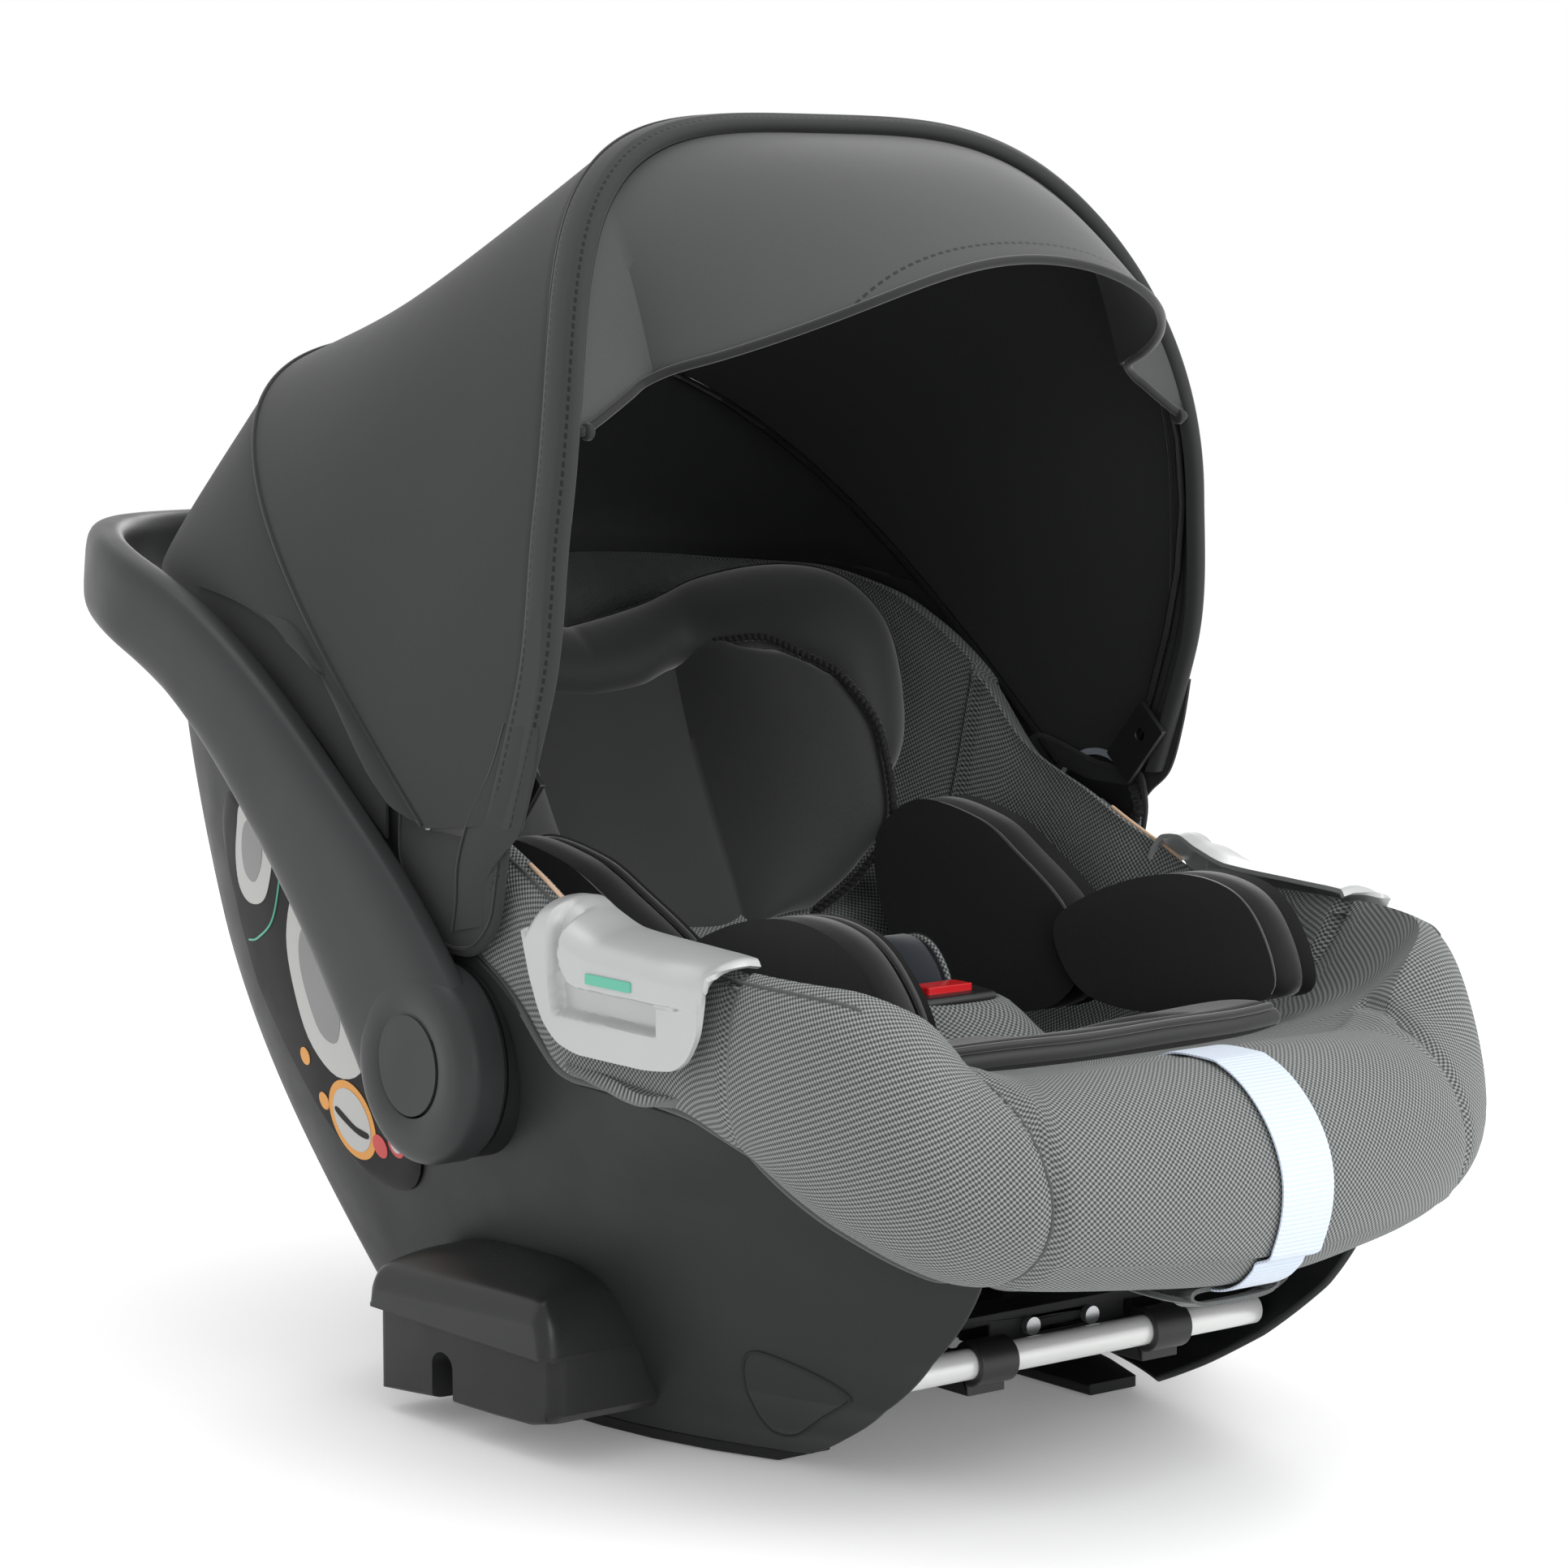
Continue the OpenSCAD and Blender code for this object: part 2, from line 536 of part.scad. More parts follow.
hub_x0 = shell_half + 0.8;
hub_x1 = canopy_half - fabric_t - 0.4;
hub_r = 34;
module canopy_hub_right() color("#1c1d1e") difference() {
    $fn = 72;
    along_x(hub_x0, hub_x1, canopy_y, canopy_z, r = hub_r - 4);
    along_x(hub_x0 - 1, hub_x1 + 1, canopy_y, canopy_z, r = 6);
}
module hub_rim_right() color("#aeb6bf") difference() {
    $fn = 72;
    along_x(hub_x0, hub_x1, canopy_y, canopy_z, r = hub_r);
    along_x(hub_x0 - 1, hub_x1 + 1, canopy_y, canopy_z, r = hub_r - 3.6);
}

tip_z = 248;
arch_square = 3.6;
rear_square = 3.2;
// Y of the front edge at a height: forward at the cheeks, upright over the head
function front_edge_y(z) = -58 - 56.5 * sin(180 * pow(clamp((z - tip_z) / (canopy_top - tip_z), 0, 1), 1.15));
// Arch at angle a, from the right tip at 0 over the top to the left tip at 180
function arch(a, inset, back) =
    let (z = mix(tip_z, canopy_top - inset, soft(sin(a), arch_square)))
    [(canopy_half - inset) * soft(cos(a), arch_square),
     front_edge_y(mix(tip_z, canopy_top, soft(sin(a), arch_square))) + back, z];
band_w = 24;
function seam(a) = arch(a, 0, band_w);
function rear_arch(a, inset = 0) =
    let (r = (rear_reach - inset) * soft(sin(a), rear_square))
    [(canopy_half - inset) * soft(cos(a), rear_square),
     canopy_y + r * cos(rear_angle), canopy_z + r * sin(rear_angle)];
// Lower edge of the rear panel, outside the shell's rim, and how far it stands straight up from there
function tail(a) =
    let (y = mix(canopy_y, 342, soft(sin(a), 4)))
    [(canopy_half - 1) * soft(cos(a), 4), y, lookup(y, [[canopy_y, 250], [40, 303], [115, 348], [342, 364]])];
function tail_rise(y) = lookup(y, [[40, 2], [115, 24], [342, 28]]);
// The arches stop short of the hub
function arch_angle(i, end = 0.08) = even_angle(mix(end, 2 - end, i / arch_steps));

module canopy_rear_panel() color("#454746")
    sheet([for (i = [0 : arch_steps])
        let (a = arch_angle(i, 0.12), p = tail(a), r = p + [0, 0, tail_rise(p[1])], q = rear_arch(a))
        concat([p], [for (j = [0 : 3]) mix(r, q, mix(0, 0.985, j / 3))])], fabric_t);
module canopy_main_panel() color("#454746")
    sheet([for (i = [0 : arch_steps])
        let (a = arch_angle(i), p = rear_arch(a), q = seam(a), sag = 9 * sin(a))
        [for (j = [0 : 7])
            let (t = mix(0.015, 0.985, j / 7))
            mix(p, q, t) - [0, 0, sag * sin(180 * t)]]], fabric_t);
module canopy_front_band() color("#4b4d4c")
    sheet([for (i = [0 : arch_steps])
        let (a = arch_angle(i))
        [seam(a), arch(a, -0.2, band_w * 0.5), arch(a, 2, 1), arch(a, 4, 0), arch(a, 6.5, 2)]], fabric_t);
module canopy_front_bow() color("#8a8c8d")
    tube([for (i = [0 : arch_steps]) arch(arch_angle(i, 0.1), 5, band_w * 0.55)], 2);
module canopy_rear_bow() color("#8a8c8d")
    tube([for (i = [0 : arch_steps]) rear_arch(arch_angle(i, 0.092), 4.5)], 2, [0, -1, 1]);
// Pocket of fabric over each hub, up to the end of the main panel
module canopy_pocket_right() color("#454746") intersection() {
    along_x(hub_x1 + 0.3, canopy_half, canopy_y, canopy_z, hub_r - 0.6, $fn = 72);
    translate([0, canopy_y - 50, canopy_z - 50]) cube([220, 100, 69.4]);
}

module canopy_clip_right() color("#1f2021")
    translate([188.6, canopy_y, canopy_z]) rotate([132 - 90, 0, 0]) difference() {
        union() {
            translate([0, -11, 35]) cube([3, 22, 38]);
            translate([0, -8, 35]) cube([9, 16, 5]);
        }
        translate([-1, 0, 60]) rotate([0, 90, 0]) cylinder(h = 6, r = 3, $fn = 32);
    }

// Free edge of the visor: it juts out over the middle and runs back to the cheeks
visor_end = [-110, 468];
visor_lift = [-95, 76];
function visor_at(x, half) = [x, visor_end[0] + visor_lift[0] * max(0, 1 - pow(abs(x) / 142, 4)),
    visor_end[1] + visor_lift[1] * pow(1 - pow(abs(x) / half, 2), 1.2)];
// The visor is sewn inside the band from one cheek to the other
visor_from = 0.374;
function visor_seam(i) = arch(even_angle(mix(visor_from, 2 - visor_from, i / arch_steps)), 7.5, 3);
function visor_tip(i) = visor_at(visor_seam(i)[0], visor_seam(0)[0] + 0.1);
module visor_panel() color("#5a5c5b")
    sheet([for (i = [0 : arch_steps])
        let (p = visor_seam(i), q = visor_tip(i) + [0, 3, 3])
        [for (j = [0 : 5]) mix(p, q, j / 5) + [0, 0, norm(q - p) * 0.07 * sin(36 * j)]]], 1.6);
module visor_edge() color("#3a3b3b") {
    tube([for (i = [0 : arch_steps]) visor_tip(i)], 2.2);
    // Buttons that the wire turns on
    for (s = [-1, 1]) along_x(s * 179 - 1.8, s * 179 + 1.8, visor_end[0], visor_end[1], 4, $fn = 32);
}

// --- left-hand parts -------------------------------------------------------------------------

module hub_flange_left() left() hub_flange_right();
module adapter_housing_left() left() adapter_housing_right();
module adapter_foot_left() left() adapter_foot_right();
module access_plug_left() left() access_plug_right();
module side_panel_left() left() side_panel_right();
module belt_guide_left() left() belt_guide_right();
module guide_mark_left() left() guide_mark_right();
module hip_wing_left() left() hip_wing_right();
module side_wing_left() left() side_wing_right();
module head_wing_left() left() head_wing_right();
module handle_button_left() left() handle_button_right();
module canopy_hub_left() left() canopy_hub_right();
module hub_rim_left() left() hub_rim_right();
module canopy_pocket_left() left() canopy_pocket_right();
module canopy_clip_left() left() canopy_clip_right();

outer_shell();
base_rim();
foam_liner();
seat_pan();
hub_flange_left();
hub_flange_right();
adapter_housing_left();
adapter_housing_right();
adapter_foot_left();
adapter_foot_right();
access_plug_left();
access_plug_right();
side_panel_left();
side_panel_right();
belt_guide_left();
belt_guide_right();
guide_mark_left();
guide_mark_right();
base_rod();
rod_clamps();
rod_bracket();
bracket_screws();
seat_cover();
cover_centre();
insert_pad();
hip_wing_left();
hip_wing_right();
side_wing_left();
side_wing_right();
head_pillow();
head_wing_left();
head_wing_right();
head_bolster();
crotch_pad();
buckle_body();
buckle_tongues();
buckle_button();
adjuster_strap();
strap_loop();
adjuster_housing();
adjuster_lever();
carry_handle();
handle_button_left();
handle_button_right();
canopy_hub_left();
canopy_hub_right();
canopy_pocket_left();
canopy_pocket_right();
hub_rim_left();
hub_rim_right();
canopy_rear_bow();
canopy_rear_panel();
canopy_main_panel();
canopy_front_bow();
canopy_front_band();
canopy_clip_left();
canopy_clip_right();
visor_panel();
visor_edge();
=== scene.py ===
import json
import math

import bmesh
import bpy
import numpy as np
from mathutils import Matrix, Vector


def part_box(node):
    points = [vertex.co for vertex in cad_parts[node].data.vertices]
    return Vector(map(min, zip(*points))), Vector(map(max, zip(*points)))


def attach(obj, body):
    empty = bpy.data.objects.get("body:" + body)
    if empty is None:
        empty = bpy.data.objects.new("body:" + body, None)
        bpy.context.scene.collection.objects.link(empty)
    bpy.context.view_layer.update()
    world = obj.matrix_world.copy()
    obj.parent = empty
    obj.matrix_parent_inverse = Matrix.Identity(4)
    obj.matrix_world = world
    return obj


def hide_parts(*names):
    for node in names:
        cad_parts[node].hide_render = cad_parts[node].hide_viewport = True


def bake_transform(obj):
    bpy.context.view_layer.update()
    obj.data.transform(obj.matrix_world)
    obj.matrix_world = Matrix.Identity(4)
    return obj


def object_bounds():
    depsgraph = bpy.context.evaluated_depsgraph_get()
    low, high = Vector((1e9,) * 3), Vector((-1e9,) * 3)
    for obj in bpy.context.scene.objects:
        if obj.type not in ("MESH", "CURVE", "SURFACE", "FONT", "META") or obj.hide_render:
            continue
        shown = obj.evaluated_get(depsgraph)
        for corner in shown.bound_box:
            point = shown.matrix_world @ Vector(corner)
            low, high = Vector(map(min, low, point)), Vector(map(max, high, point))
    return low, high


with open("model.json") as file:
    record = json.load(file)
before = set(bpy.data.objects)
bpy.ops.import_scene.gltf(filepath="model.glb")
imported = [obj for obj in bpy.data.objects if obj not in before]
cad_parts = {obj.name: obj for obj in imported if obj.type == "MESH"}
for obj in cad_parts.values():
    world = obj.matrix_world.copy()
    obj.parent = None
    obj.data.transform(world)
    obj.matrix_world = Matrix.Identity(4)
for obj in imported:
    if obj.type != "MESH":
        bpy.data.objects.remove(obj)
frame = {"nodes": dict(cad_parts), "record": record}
start_lo, start_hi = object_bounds()

# ---------------------------------------------------------------------------------------------
# Small maths. Lengths are millimetres until a mesh is made.


def sind(a):
    return math.sin(math.radians(a))


def cosd(a):
    return math.cos(math.radians(a))


def look(v, table):
    """Smooth curve through the table's points, with no overshoot."""
    x = np.array([p[0] for p in table], float)
    y = np.array([p[1] for p in table], float)
    if v <= x[0]:
        return float(y[0])
    if v >= x[-1]:
        return float(y[-1])
    h = np.diff(x)
    d = np.diff(y) / h
    m = np.zeros(len(x))
    for k in range(1, len(x) - 1):
        if d[k - 1] * d[k] > 0:
            m[k] = 2 * d[k - 1] * d[k] / (d[k - 1] + d[k])
    m[0], m[-1] = d[0], d[-1]
    k = min(int(np.searchsorted(x, v, side="right")) - 1, len(h) - 1)
    t = (v - x[k]) / h[k]
    return float((1 + 2 * t) * (1 - t) ** 2 * y[k] + t * (1 - t) ** 2 * h[k] * m[k]
                 + t * t * (3 - 2 * t) * y[k + 1] + t * t * (t - 1) * h[k] * m[k + 1])


def soft(c, n):
    return math.copysign(abs(c) ** (2 / n), c)


def mix(a, b, t):
    return a + (b - a) * t


def clamp(v, a, b):
    return min(max(v, a), b)


def step(v, a, b):
    t = clamp((v - a) / (b - a), 0, 1)
    return t * t * (3 - 2 * t)


def even_angle(t):
    return 180 - even_angle(2 - t) if t > 1 else 90 * t ** 1.8 / (t ** 1.8 + (1 - t) ** 1.8)


def unit(v):
    return v / max(np.linalg.norm(v), 1e-9)


def V(*p):
    return np.array(p, float)


def spline(points, count, closed=False):
    """Evenly spread points along a smooth curve through the given ones."""
    p = np.array(points, float)
    n = len(p)
    out = []
    spans = n if closed else n - 1
    for i in range(spans):
        a, b = (p[(i - 1) % n], p[(i + 2) % n]) if closed else (p[max(i - 1, 0)], p[min(i + 2, n - 1)])
        q, r = p[i], p[(i + 1) % n]
        for t in np.linspace(0, 1, 16, endpoint=False):
            bend, twist = 2 * a - 5 * q + 4 * r - b, 3 * q - a - 3 * r + b
            out.append(0.5 * (2 * q + (r - a) * t + bend * t * t + twist * t ** 3))
    out.append(p[0] if closed else p[-1])
    out = np.array(out)
    s = lengths(out)
    want = np.linspace(0, s[-1], count, endpoint=not closed)
    return np.stack([np.interp(want, s, out[:, k]) for k in range(out.shape[1])], axis=1)


def lengths(p):
    """Distance of each point of a line from its start, along the line."""
    return np.r_[0, np.cumsum(np.linalg.norm(np.diff(p, axis=0), axis=1))]


# ---------------------------------------------------------------------------------------------
# Meshes


def finish_mesh(name, verts, faces, uvs=None, face_mats=None, sharp=40):
    me = bpy.data.meshes.new(name)
    me.from_pydata([tuple(v) for v in np.asarray(verts) * 0.001], [], faces)
    me.validate()
    if uvs is not None:
        layer = me.uv_layers.new(name="weave")
        idx = np.zeros(len(me.loops), int)
        me.loops.foreach_get("vertex_index", idx)
        layer.data.foreach_set("uv", (np.asarray(uvs)[idx] * 0.001).astype(np.float32).ravel())
    if face_mats is not None:
        me.polygons.foreach_set("material_index", np.asarray(face_mats, dtype=np.int32))
    bm = bmesh.new()
    bm.from_mesh(me)
    bmesh.ops.recalc_face_normals(bm, faces=bm.faces)
    limit = math.radians(sharp)
    for f in bm.faces:
        f.smooth = True
    for e in bm.edges:
        e.smooth = not (len(e.link_faces) == 2 and e.calc_face_angle(0) > limit)
    bm.to_mesh(me)
    bm.free()
    ob = bpy.data.objects.new(name, me)
    bpy.context.scene.collection.objects.link(ob)
    return ob


def grid_uv(g):
    du = np.linalg.norm(np.diff(g, axis=0), axis=2).mean(axis=1)
    u = np.r_[0, np.cumsum(du)]
    dv = np.linalg.norm(np.diff(g, axis=1), axis=2)
    v = np.concatenate([np.zeros((g.shape[0], 1)), np.cumsum(dv, axis=1)], axis=1)
    return np.stack([np.repeat(u[:, None], g.shape[1], axis=1), v], axis=2)


def grid_normals(g, wrap=False):
    if wrap:
        a = np.roll(g, -1, axis=0) - np.roll(g, 1, axis=0)
    else:
        a = np.gradient(g, axis=0)
    b = np.gradient(g, axis=1)
    n = np.cross(a, b)
    ln = np.linalg.norm(n, axis=2, keepdims=True)
    return n / np.maximum(ln, 1e-9)


def slab(name, top, under, wrap=False, sharp=40, bevel=0.0, two_sided=False):
    """Closed solid between two grids of points."""
    top, under = np.asarray(top, float), np.asarray(under, float)
    n, m = top.shape[:2]
    k = n * m
    verts = np.concatenate([top.reshape(-1, 3), under.reshape(-1, 3)])
    rows = n if wrap else n - 1
    faces, mats = [], []
    for i in range(rows):
        a0, b0 = i * m, ((i + 1) % n) * m
        for j in range(m - 1):
            faces.append((a0 + j, b0 + j, b0 + j + 1, a0 + j + 1))
            mats.append(0)
            faces.append((k + a0 + j, k + a0 + j + 1, k + b0 + j + 1, k + b0 + j))
            mats.append(1 if two_sided else 0)
        faces.append((a0, k + a0, k + b0, b0))
        faces.append((a0 + m - 1, b0 + m - 1, k + b0 + m - 1, k + a0 + m - 1))
        mats += [0, 0]
    if not wrap:
        e = (n - 1) * m
        for j in range(m - 1):
            faces.append((j, j + 1, k + j + 1, k + j))
            faces.append((e + j, k + e + j, k + e + j + 1, e + j + 1))
            mats += [0, 0]
    uv = grid_uv(top).reshape(-1, 2)
    ob = finish_mesh(name, verts, faces, np.concatenate([uv, uv]), mats, sharp)
    if bevel:
        add_bevel(ob, bevel)
    return ob


def sheet(name, g, t, wrap=False, **kw):
    g = np.asarray(g, float)
    return slab(name, g, g - t * grid_normals(g, wrap), wrap, **kw)


def add_bevel(ob, width, angle=42, segments=2, weld=False):
    if weld:
        w = ob.modifiers.new("weld", "WELD")
        w.merge_threshold = 0.00002
    b = ob.modifiers.new("bevel", "BEVEL")
    b.width = width * 0.001
    b.segments = segments
    b.limit_method = "ANGLE"
    b.angle_limit = math.radians(angle)
    b.use_clamp_overlap = True
    if weld:
        ob.modifiers.new("normals", "WEIGHTED_NORMAL").keep_sharp = False


def loft(name, rings, sharp=40, cap=True, closed=False):
    """Solid through rings of points."""
    rings = np.asarray(rings, float)
    n, m = rings.shape[:2]
    faces = []
    for i in range(n if closed else n - 1):
        a, b = i * m, ((i + 1) % n) * m
        for j in range(m):
            faces.append((a + j, a + (j + 1) % m, b + (j + 1) % m, b + j))
    if cap and not closed:
        faces.append(tuple(range(m))[::-1])
        faces.append(tuple((n - 1) * m + j for j in range(m)))
    u = lengths(rings.mean(axis=1))
    v = lengths(rings[n // 2])
    uv = np.stack([np.repeat(u[:, None], m, 1), np.repeat(v[None, :], n, 0)], axis=2).reshape(-1, 2)
    return finish_mesh(name, rings.reshape(-1, 3), faces, uv, None, sharp)


def tube_rings(path, r, sides=10, closed=False, flat=1.0, up=None):
    """Rings round a path, carried along it with no twist."""
    path = np.asarray(path, float)
    n = len(path)
    if closed:
        t = np.roll(path, -1, 0) - np.roll(path, 1, 0)
    else:
        t = np.gradient(path, axis=0)
    t /= np.maximum(np.linalg.norm(t, axis=1, keepdims=True), 1e-9)
    a = np.cross(t[0], up if up is not None else (V(0, 0, 1) if abs(t[0][2]) < 0.9 else V(0, 1, 0)))
    a = unit(a)
    rings = []
    for i in range(n):
        if up is not None:
            a = unit(np.cross(t[i], up))
        else:
            a = unit(a - t[i] * np.dot(a, t[i]))
        b = np.cross(t[i], a)
        rr = r[i] if hasattr(r, "__len__") else r
        angles = np.arange(sides) * 360 / sides
        rings.append([path[i] + rr * (a * cosd(q) + flat * b * sind(q)) for q in angles])
    return np.array(rings)


def tube(name, path, r, sides=10, closed=False, flat=1.0, up=None):
    path = np.asarray(path, float)
    rings = tube_rings(path, r, sides, closed, flat, up)
    if not closed:
        # Rounded ends
        t0, t1 = unit(path[0] - path[1]), unit(path[-1] - path[-2])
        r0 = r[0] if hasattr(r, "__len__") else r
        r1 = r[-1] if hasattr(r, "__len__") else r
        head = [path[0] + (rings[0] - path[0]) * cosd(a) + t0 * r0 * sind(a) for a in (75, 45, 20)]
        tail = [path[-1] + (rings[-1] - path[-1]) * cosd(a) + t1 * r1 * sind(a) for a in (20, 45, 75)]
        rings = np.concatenate([head, rings, tail])
    return loft(name, rings, closed=closed, sharp=60)


def lathe(name, profile, centre, side=1, steps=72, sharp=35):
    """Solid turned about the X axis: profile is (distance outwards along X, radius)."""
    angles = np.arange(steps) * 360 / steps
    pts = [[[side * x, centre[0] + r * cosd(a), centre[1] + r * sind(a)] for a in angles] for x, r in profile]
    return loft(name, pts, sharp=sharp)


def join(name, parts):
    """One object from several, keeping their materials."""
    for p in parts:
        apply_modifiers(p)
    bm = bmesh.new()
    mats = []
    for p in parts:
        tmp = p.data
        offset = []
        for m in tmp.materials:
            if m not in mats:
                mats.append(m)
            offset.append(mats.index(m))
        idx = np.zeros(len(tmp.polygons), np.int32)
        tmp.polygons.foreach_get("material_index", idx)
        if offset:
            tmp.polygons.foreach_set("material_index", np.array(offset,
                    np.int32)[np.minimum(idx, len(offset) - 1)])
        tmp.transform(p.matrix_world)
        bm.from_mesh(tmp)
    me = bpy.data.meshes.new(name)
    bm.to_mesh(me)
    bm.free()
    for m in mats:
        me.materials.append(m)
    for p in parts:
        bpy.data.objects.remove(p)
    ob = bpy.data.objects.new(name, me)
    bpy.context.scene.collection.objects.link(ob)
    return ob


def apply_modifiers(ob):
    if not ob.modifiers:
        return
    bpy.context.view_layer.update()
    dg = bpy.context.evaluated_depsgraph_get()
    me = bpy.data.meshes.new_from_object(ob.evaluated_get(dg), preserve_all_data_layers=True, depsgraph=dg)
    ob.modifiers.clear()
    ob.data = me


def place(ob, body, mats, *nodes, slot=None):
    """Gives a piece its materials, body and replaced nodes; the slot argument is not used."""
    if mats is not None:
        ob.data.materials.clear()
        for m in mats.split():
            ob.data.materials.append(M[m])
    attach(ob, body)
    if nodes:
        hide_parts(*nodes)
    return ob


def trim(name, line, r, mat, slot, sides=8, body="seat", **form):
    """Piping, seam or gap: a thin tube placed at once."""
    place(tube(name, line, r, sides, **form), body, mat, slot=slot)


# ---------------------------------------------------------------------------------------------
# Materials


M = {}


class Nodes:
    """Node tree of one material, kept in M under its name."""

    def __init__(self, name):
        self.mat = bpy.data.materials.new(name)
        self.mat.use_nodes = True
        self.t = self.mat.node_tree
        self.b = self.t.nodes["Principled BSDF"]
        M[name] = self.mat

    def put(self, socket, v):
        """Sets a socket to a number or colour, or links it to another node's output."""
        if hasattr(v, "links"):
            self.t.links.new(v, socket)
        elif v is not None:
            socket.default_value = (*v, 1) if isinstance(v, tuple) else v

    def add(self, kind, sockets=(), **settings):
        n = self.t.nodes.new("ShaderNode" + kind)
        for k, v in settings.items():
            setattr(n, k, v)
        for k, v in dict(sockets).items():
            self.put(n.inputs[k], v)
        return n

    def math(self, op, *values):
        return self.add("Math", enumerate(values), operation=op).outputs[0]

    def coord(self, which="Object"):
        return self.add("TexCoord").outputs[which]

    def weave_axes(self):
        """Distances along and across the cloth."""
        return self.add("SeparateXYZ", {0: self.coord("UV")}).outputs

    def noise(self, scale, detail=3, rough=0.55, vec=None):
        vec = self.coord() if vec is None else vec
        sockets = {"Scale": scale, "Detail": detail, "Roughness": rough, "Vector": vec}
        return self.add("TexNoise", sockets).outputs["Fac"]

    def ramp(self, v, lo, hi, a=0.0, b=1.0):
        sockets = {"From Min": lo, "From Max": hi, "To Min": a, "To Max": b, "Value": v}
        return self.add("MapRange", sockets).outputs["Result"]

    def blend(self, fac, a, b):
        return self.add("Mix", {0: fac, 6: a, 7: b}, data_type="RGBA").outputs[2]

    def bump(self, height, distance, strength=1.0, after=None):
        sockets = {"Strength": strength, "Distance": distance, "Height": height, "Normal": after}
        return self.add("Bump", sockets).outputs["Normal"]

    def done(self, color, rough, normal=None, metal=0.0, sheen=0.0, coat=0.0, spec=0.5):
        sockets = {"Base Color": color, "Roughness": rough, "Normal": normal, "Metallic": metal,
                   "Specular IOR Level": spec, "Sheen Weight": sheen, "Sheen Roughness": 0.45,
                   "Coat Weight": coat}
        for k, v in sockets.items():
            self.put(self.b.inputs[k], v)
        return self.mat


def scaled(c, k):
    return tuple(min(1.0, v * k) for v in c)


def plastic(name, color, rough=0.45, grain=1400, depth=0.00006, metal=0.0, coat=0.0, vary=0.06, spec=0.5):
    """Moulded plastic or painted part: fine spark-eroded grain, slight unevenness of colour and gloss."""
    n = Nodes(name)
    big = n.noise(9, 3)
    small = n.noise(grain, 2, 0.6)
    c = n.blend(big, scaled(color, 1 - vary), scaled(color, 1 + vary))
    r = n.ramp(n.noise(30, 4), 0.3, 0.7, rough - 0.05, rough + 0.05)
    return n.done(c, r, n.bump(small, depth, 0.6), metal=metal, coat=coat, spec=spec)


def cloth(name, color, rough=0.85, thread=1100, depth=0.00012, sheen=0.25, vary=0.08, stitch=(), spec=0.2,
          wrinkle=0.0):
    """Close-woven cloth: threads as bump, broad tone changes, rows of stitches at given heights."""
    n = Nodes(name)
    vec = n.coord()
    fine = n.noise(thread, 2, 0.7, vec)
    broad = n.noise(14, 4, 0.6, vec)
    c = n.blend(n.ramp(fine, 0.3, 0.7), scaled(color, 1 - vary * 1.6), scaled(color, 1 + vary * 1.6))
    c = n.blend(n.ramp(broad, 0.35, 0.65), c, n.blend(broad, scaled(color, 1 - vary),
            scaled(color, 1 + vary)))
    normal = n.bump(fine, depth, 0.7)
    if wrinkle:
        normal = n.bump(n.noise(26, 3, 0.5, vec), wrinkle, 0.5, normal)
    if stitch:
        along = n.weave_axes()
        dash = n.math("LESS_THAN", n.math("FRACT", n.math("MULTIPLY", along[0], 1 / 0.0042)), 0.62)
        row = None
        for s in stitch:
            d = n.math("ABSOLUTE", n.math("SUBTRACT", along[1], s * 0.001))
            q = n.ramp(d, 0.0006, 0.0011, 1.0, 0.0)
            row = q if row is None else n.math("MAXIMUM", row, q)
        mask = n.math("MULTIPLY", row, dash)
        c = n.blend(mask, c, scaled(color, 0.35))
        normal = n.bump(row, 0.0006, -0.6, normal)
    return n.done(c, rough, normal, sheen=sheen, spec=spec)


def weave(name, dark, light, pitch=0.0026, rough=0.8):
    """Two-tone basket weave over the surface's own coordinates."""
    n = Nodes(name)
    along = n.weave_axes()
    k = 2 * math.pi / pitch
    u = n.math("SINE", n.math("MULTIPLY", along[0], k * 0.72))
    v = n.math("SINE", n.math("MULTIPLY", along[1], k * 0.72))
    uv = n.math("MULTIPLY", u, v)
    knot = n.ramp(uv, -0.45, 0.45)
    thread = n.noise(2600, 2, 0.7)
    tone = n.noise(22, 4, 0.6)
    lo = n.blend(tone, scaled(dark, 0.8), scaled(dark, 1.2))
    hi = n.blend(thread, scaled(light, 0.8), scaled(light, 1.2))
    c = n.blend(knot, lo, hi)
    normal = n.bump(knot, 0.0005, 0.8)
    return n.done(c, rough, n.bump(thread, 0.0001, 0.4, normal), sheen=0.15, spec=0.2)


def webbing(name, color, rough=0.5):
    """Narrow woven strap: fine ribs across."""
    n = Nodes(name)
    along = n.weave_axes()
    rib = n.math("SINE", n.math("MULTIPLY", along[0], 2 * math.pi / 0.0011))
    row = n.math("SINE", n.math("MULTIPLY", along[1], 2 * math.pi / 0.0022))
    h = n.math("ADD", n.math("MULTIPLY", rib, 0.5), row)
    c = n.blend(n.ramp(h, -1.5, 1.5), scaled(color, 0.86), scaled(color, 1.08))
    return n.done(c, rough, n.bump(h, 0.0002, 0.6), sheen=0.3, spec=0.5)


def mesh_cloth(name, color):
    """Open spacer mesh."""
    n = Nodes(name)
    v = n.add("TexVoronoi", {"Scale": 260, "Vector": n.coord()}, feature="DISTANCE_TO_EDGE")
    h = n.ramp(v.outputs["Distance"], 0.02, 0.2)
    c = n.blend(h, scaled(color, 1.9), scaled(color, 0.3))
    return n.done(c, 0.8, n.bump(h, 0.0012, -0.9), sheen=0.1)


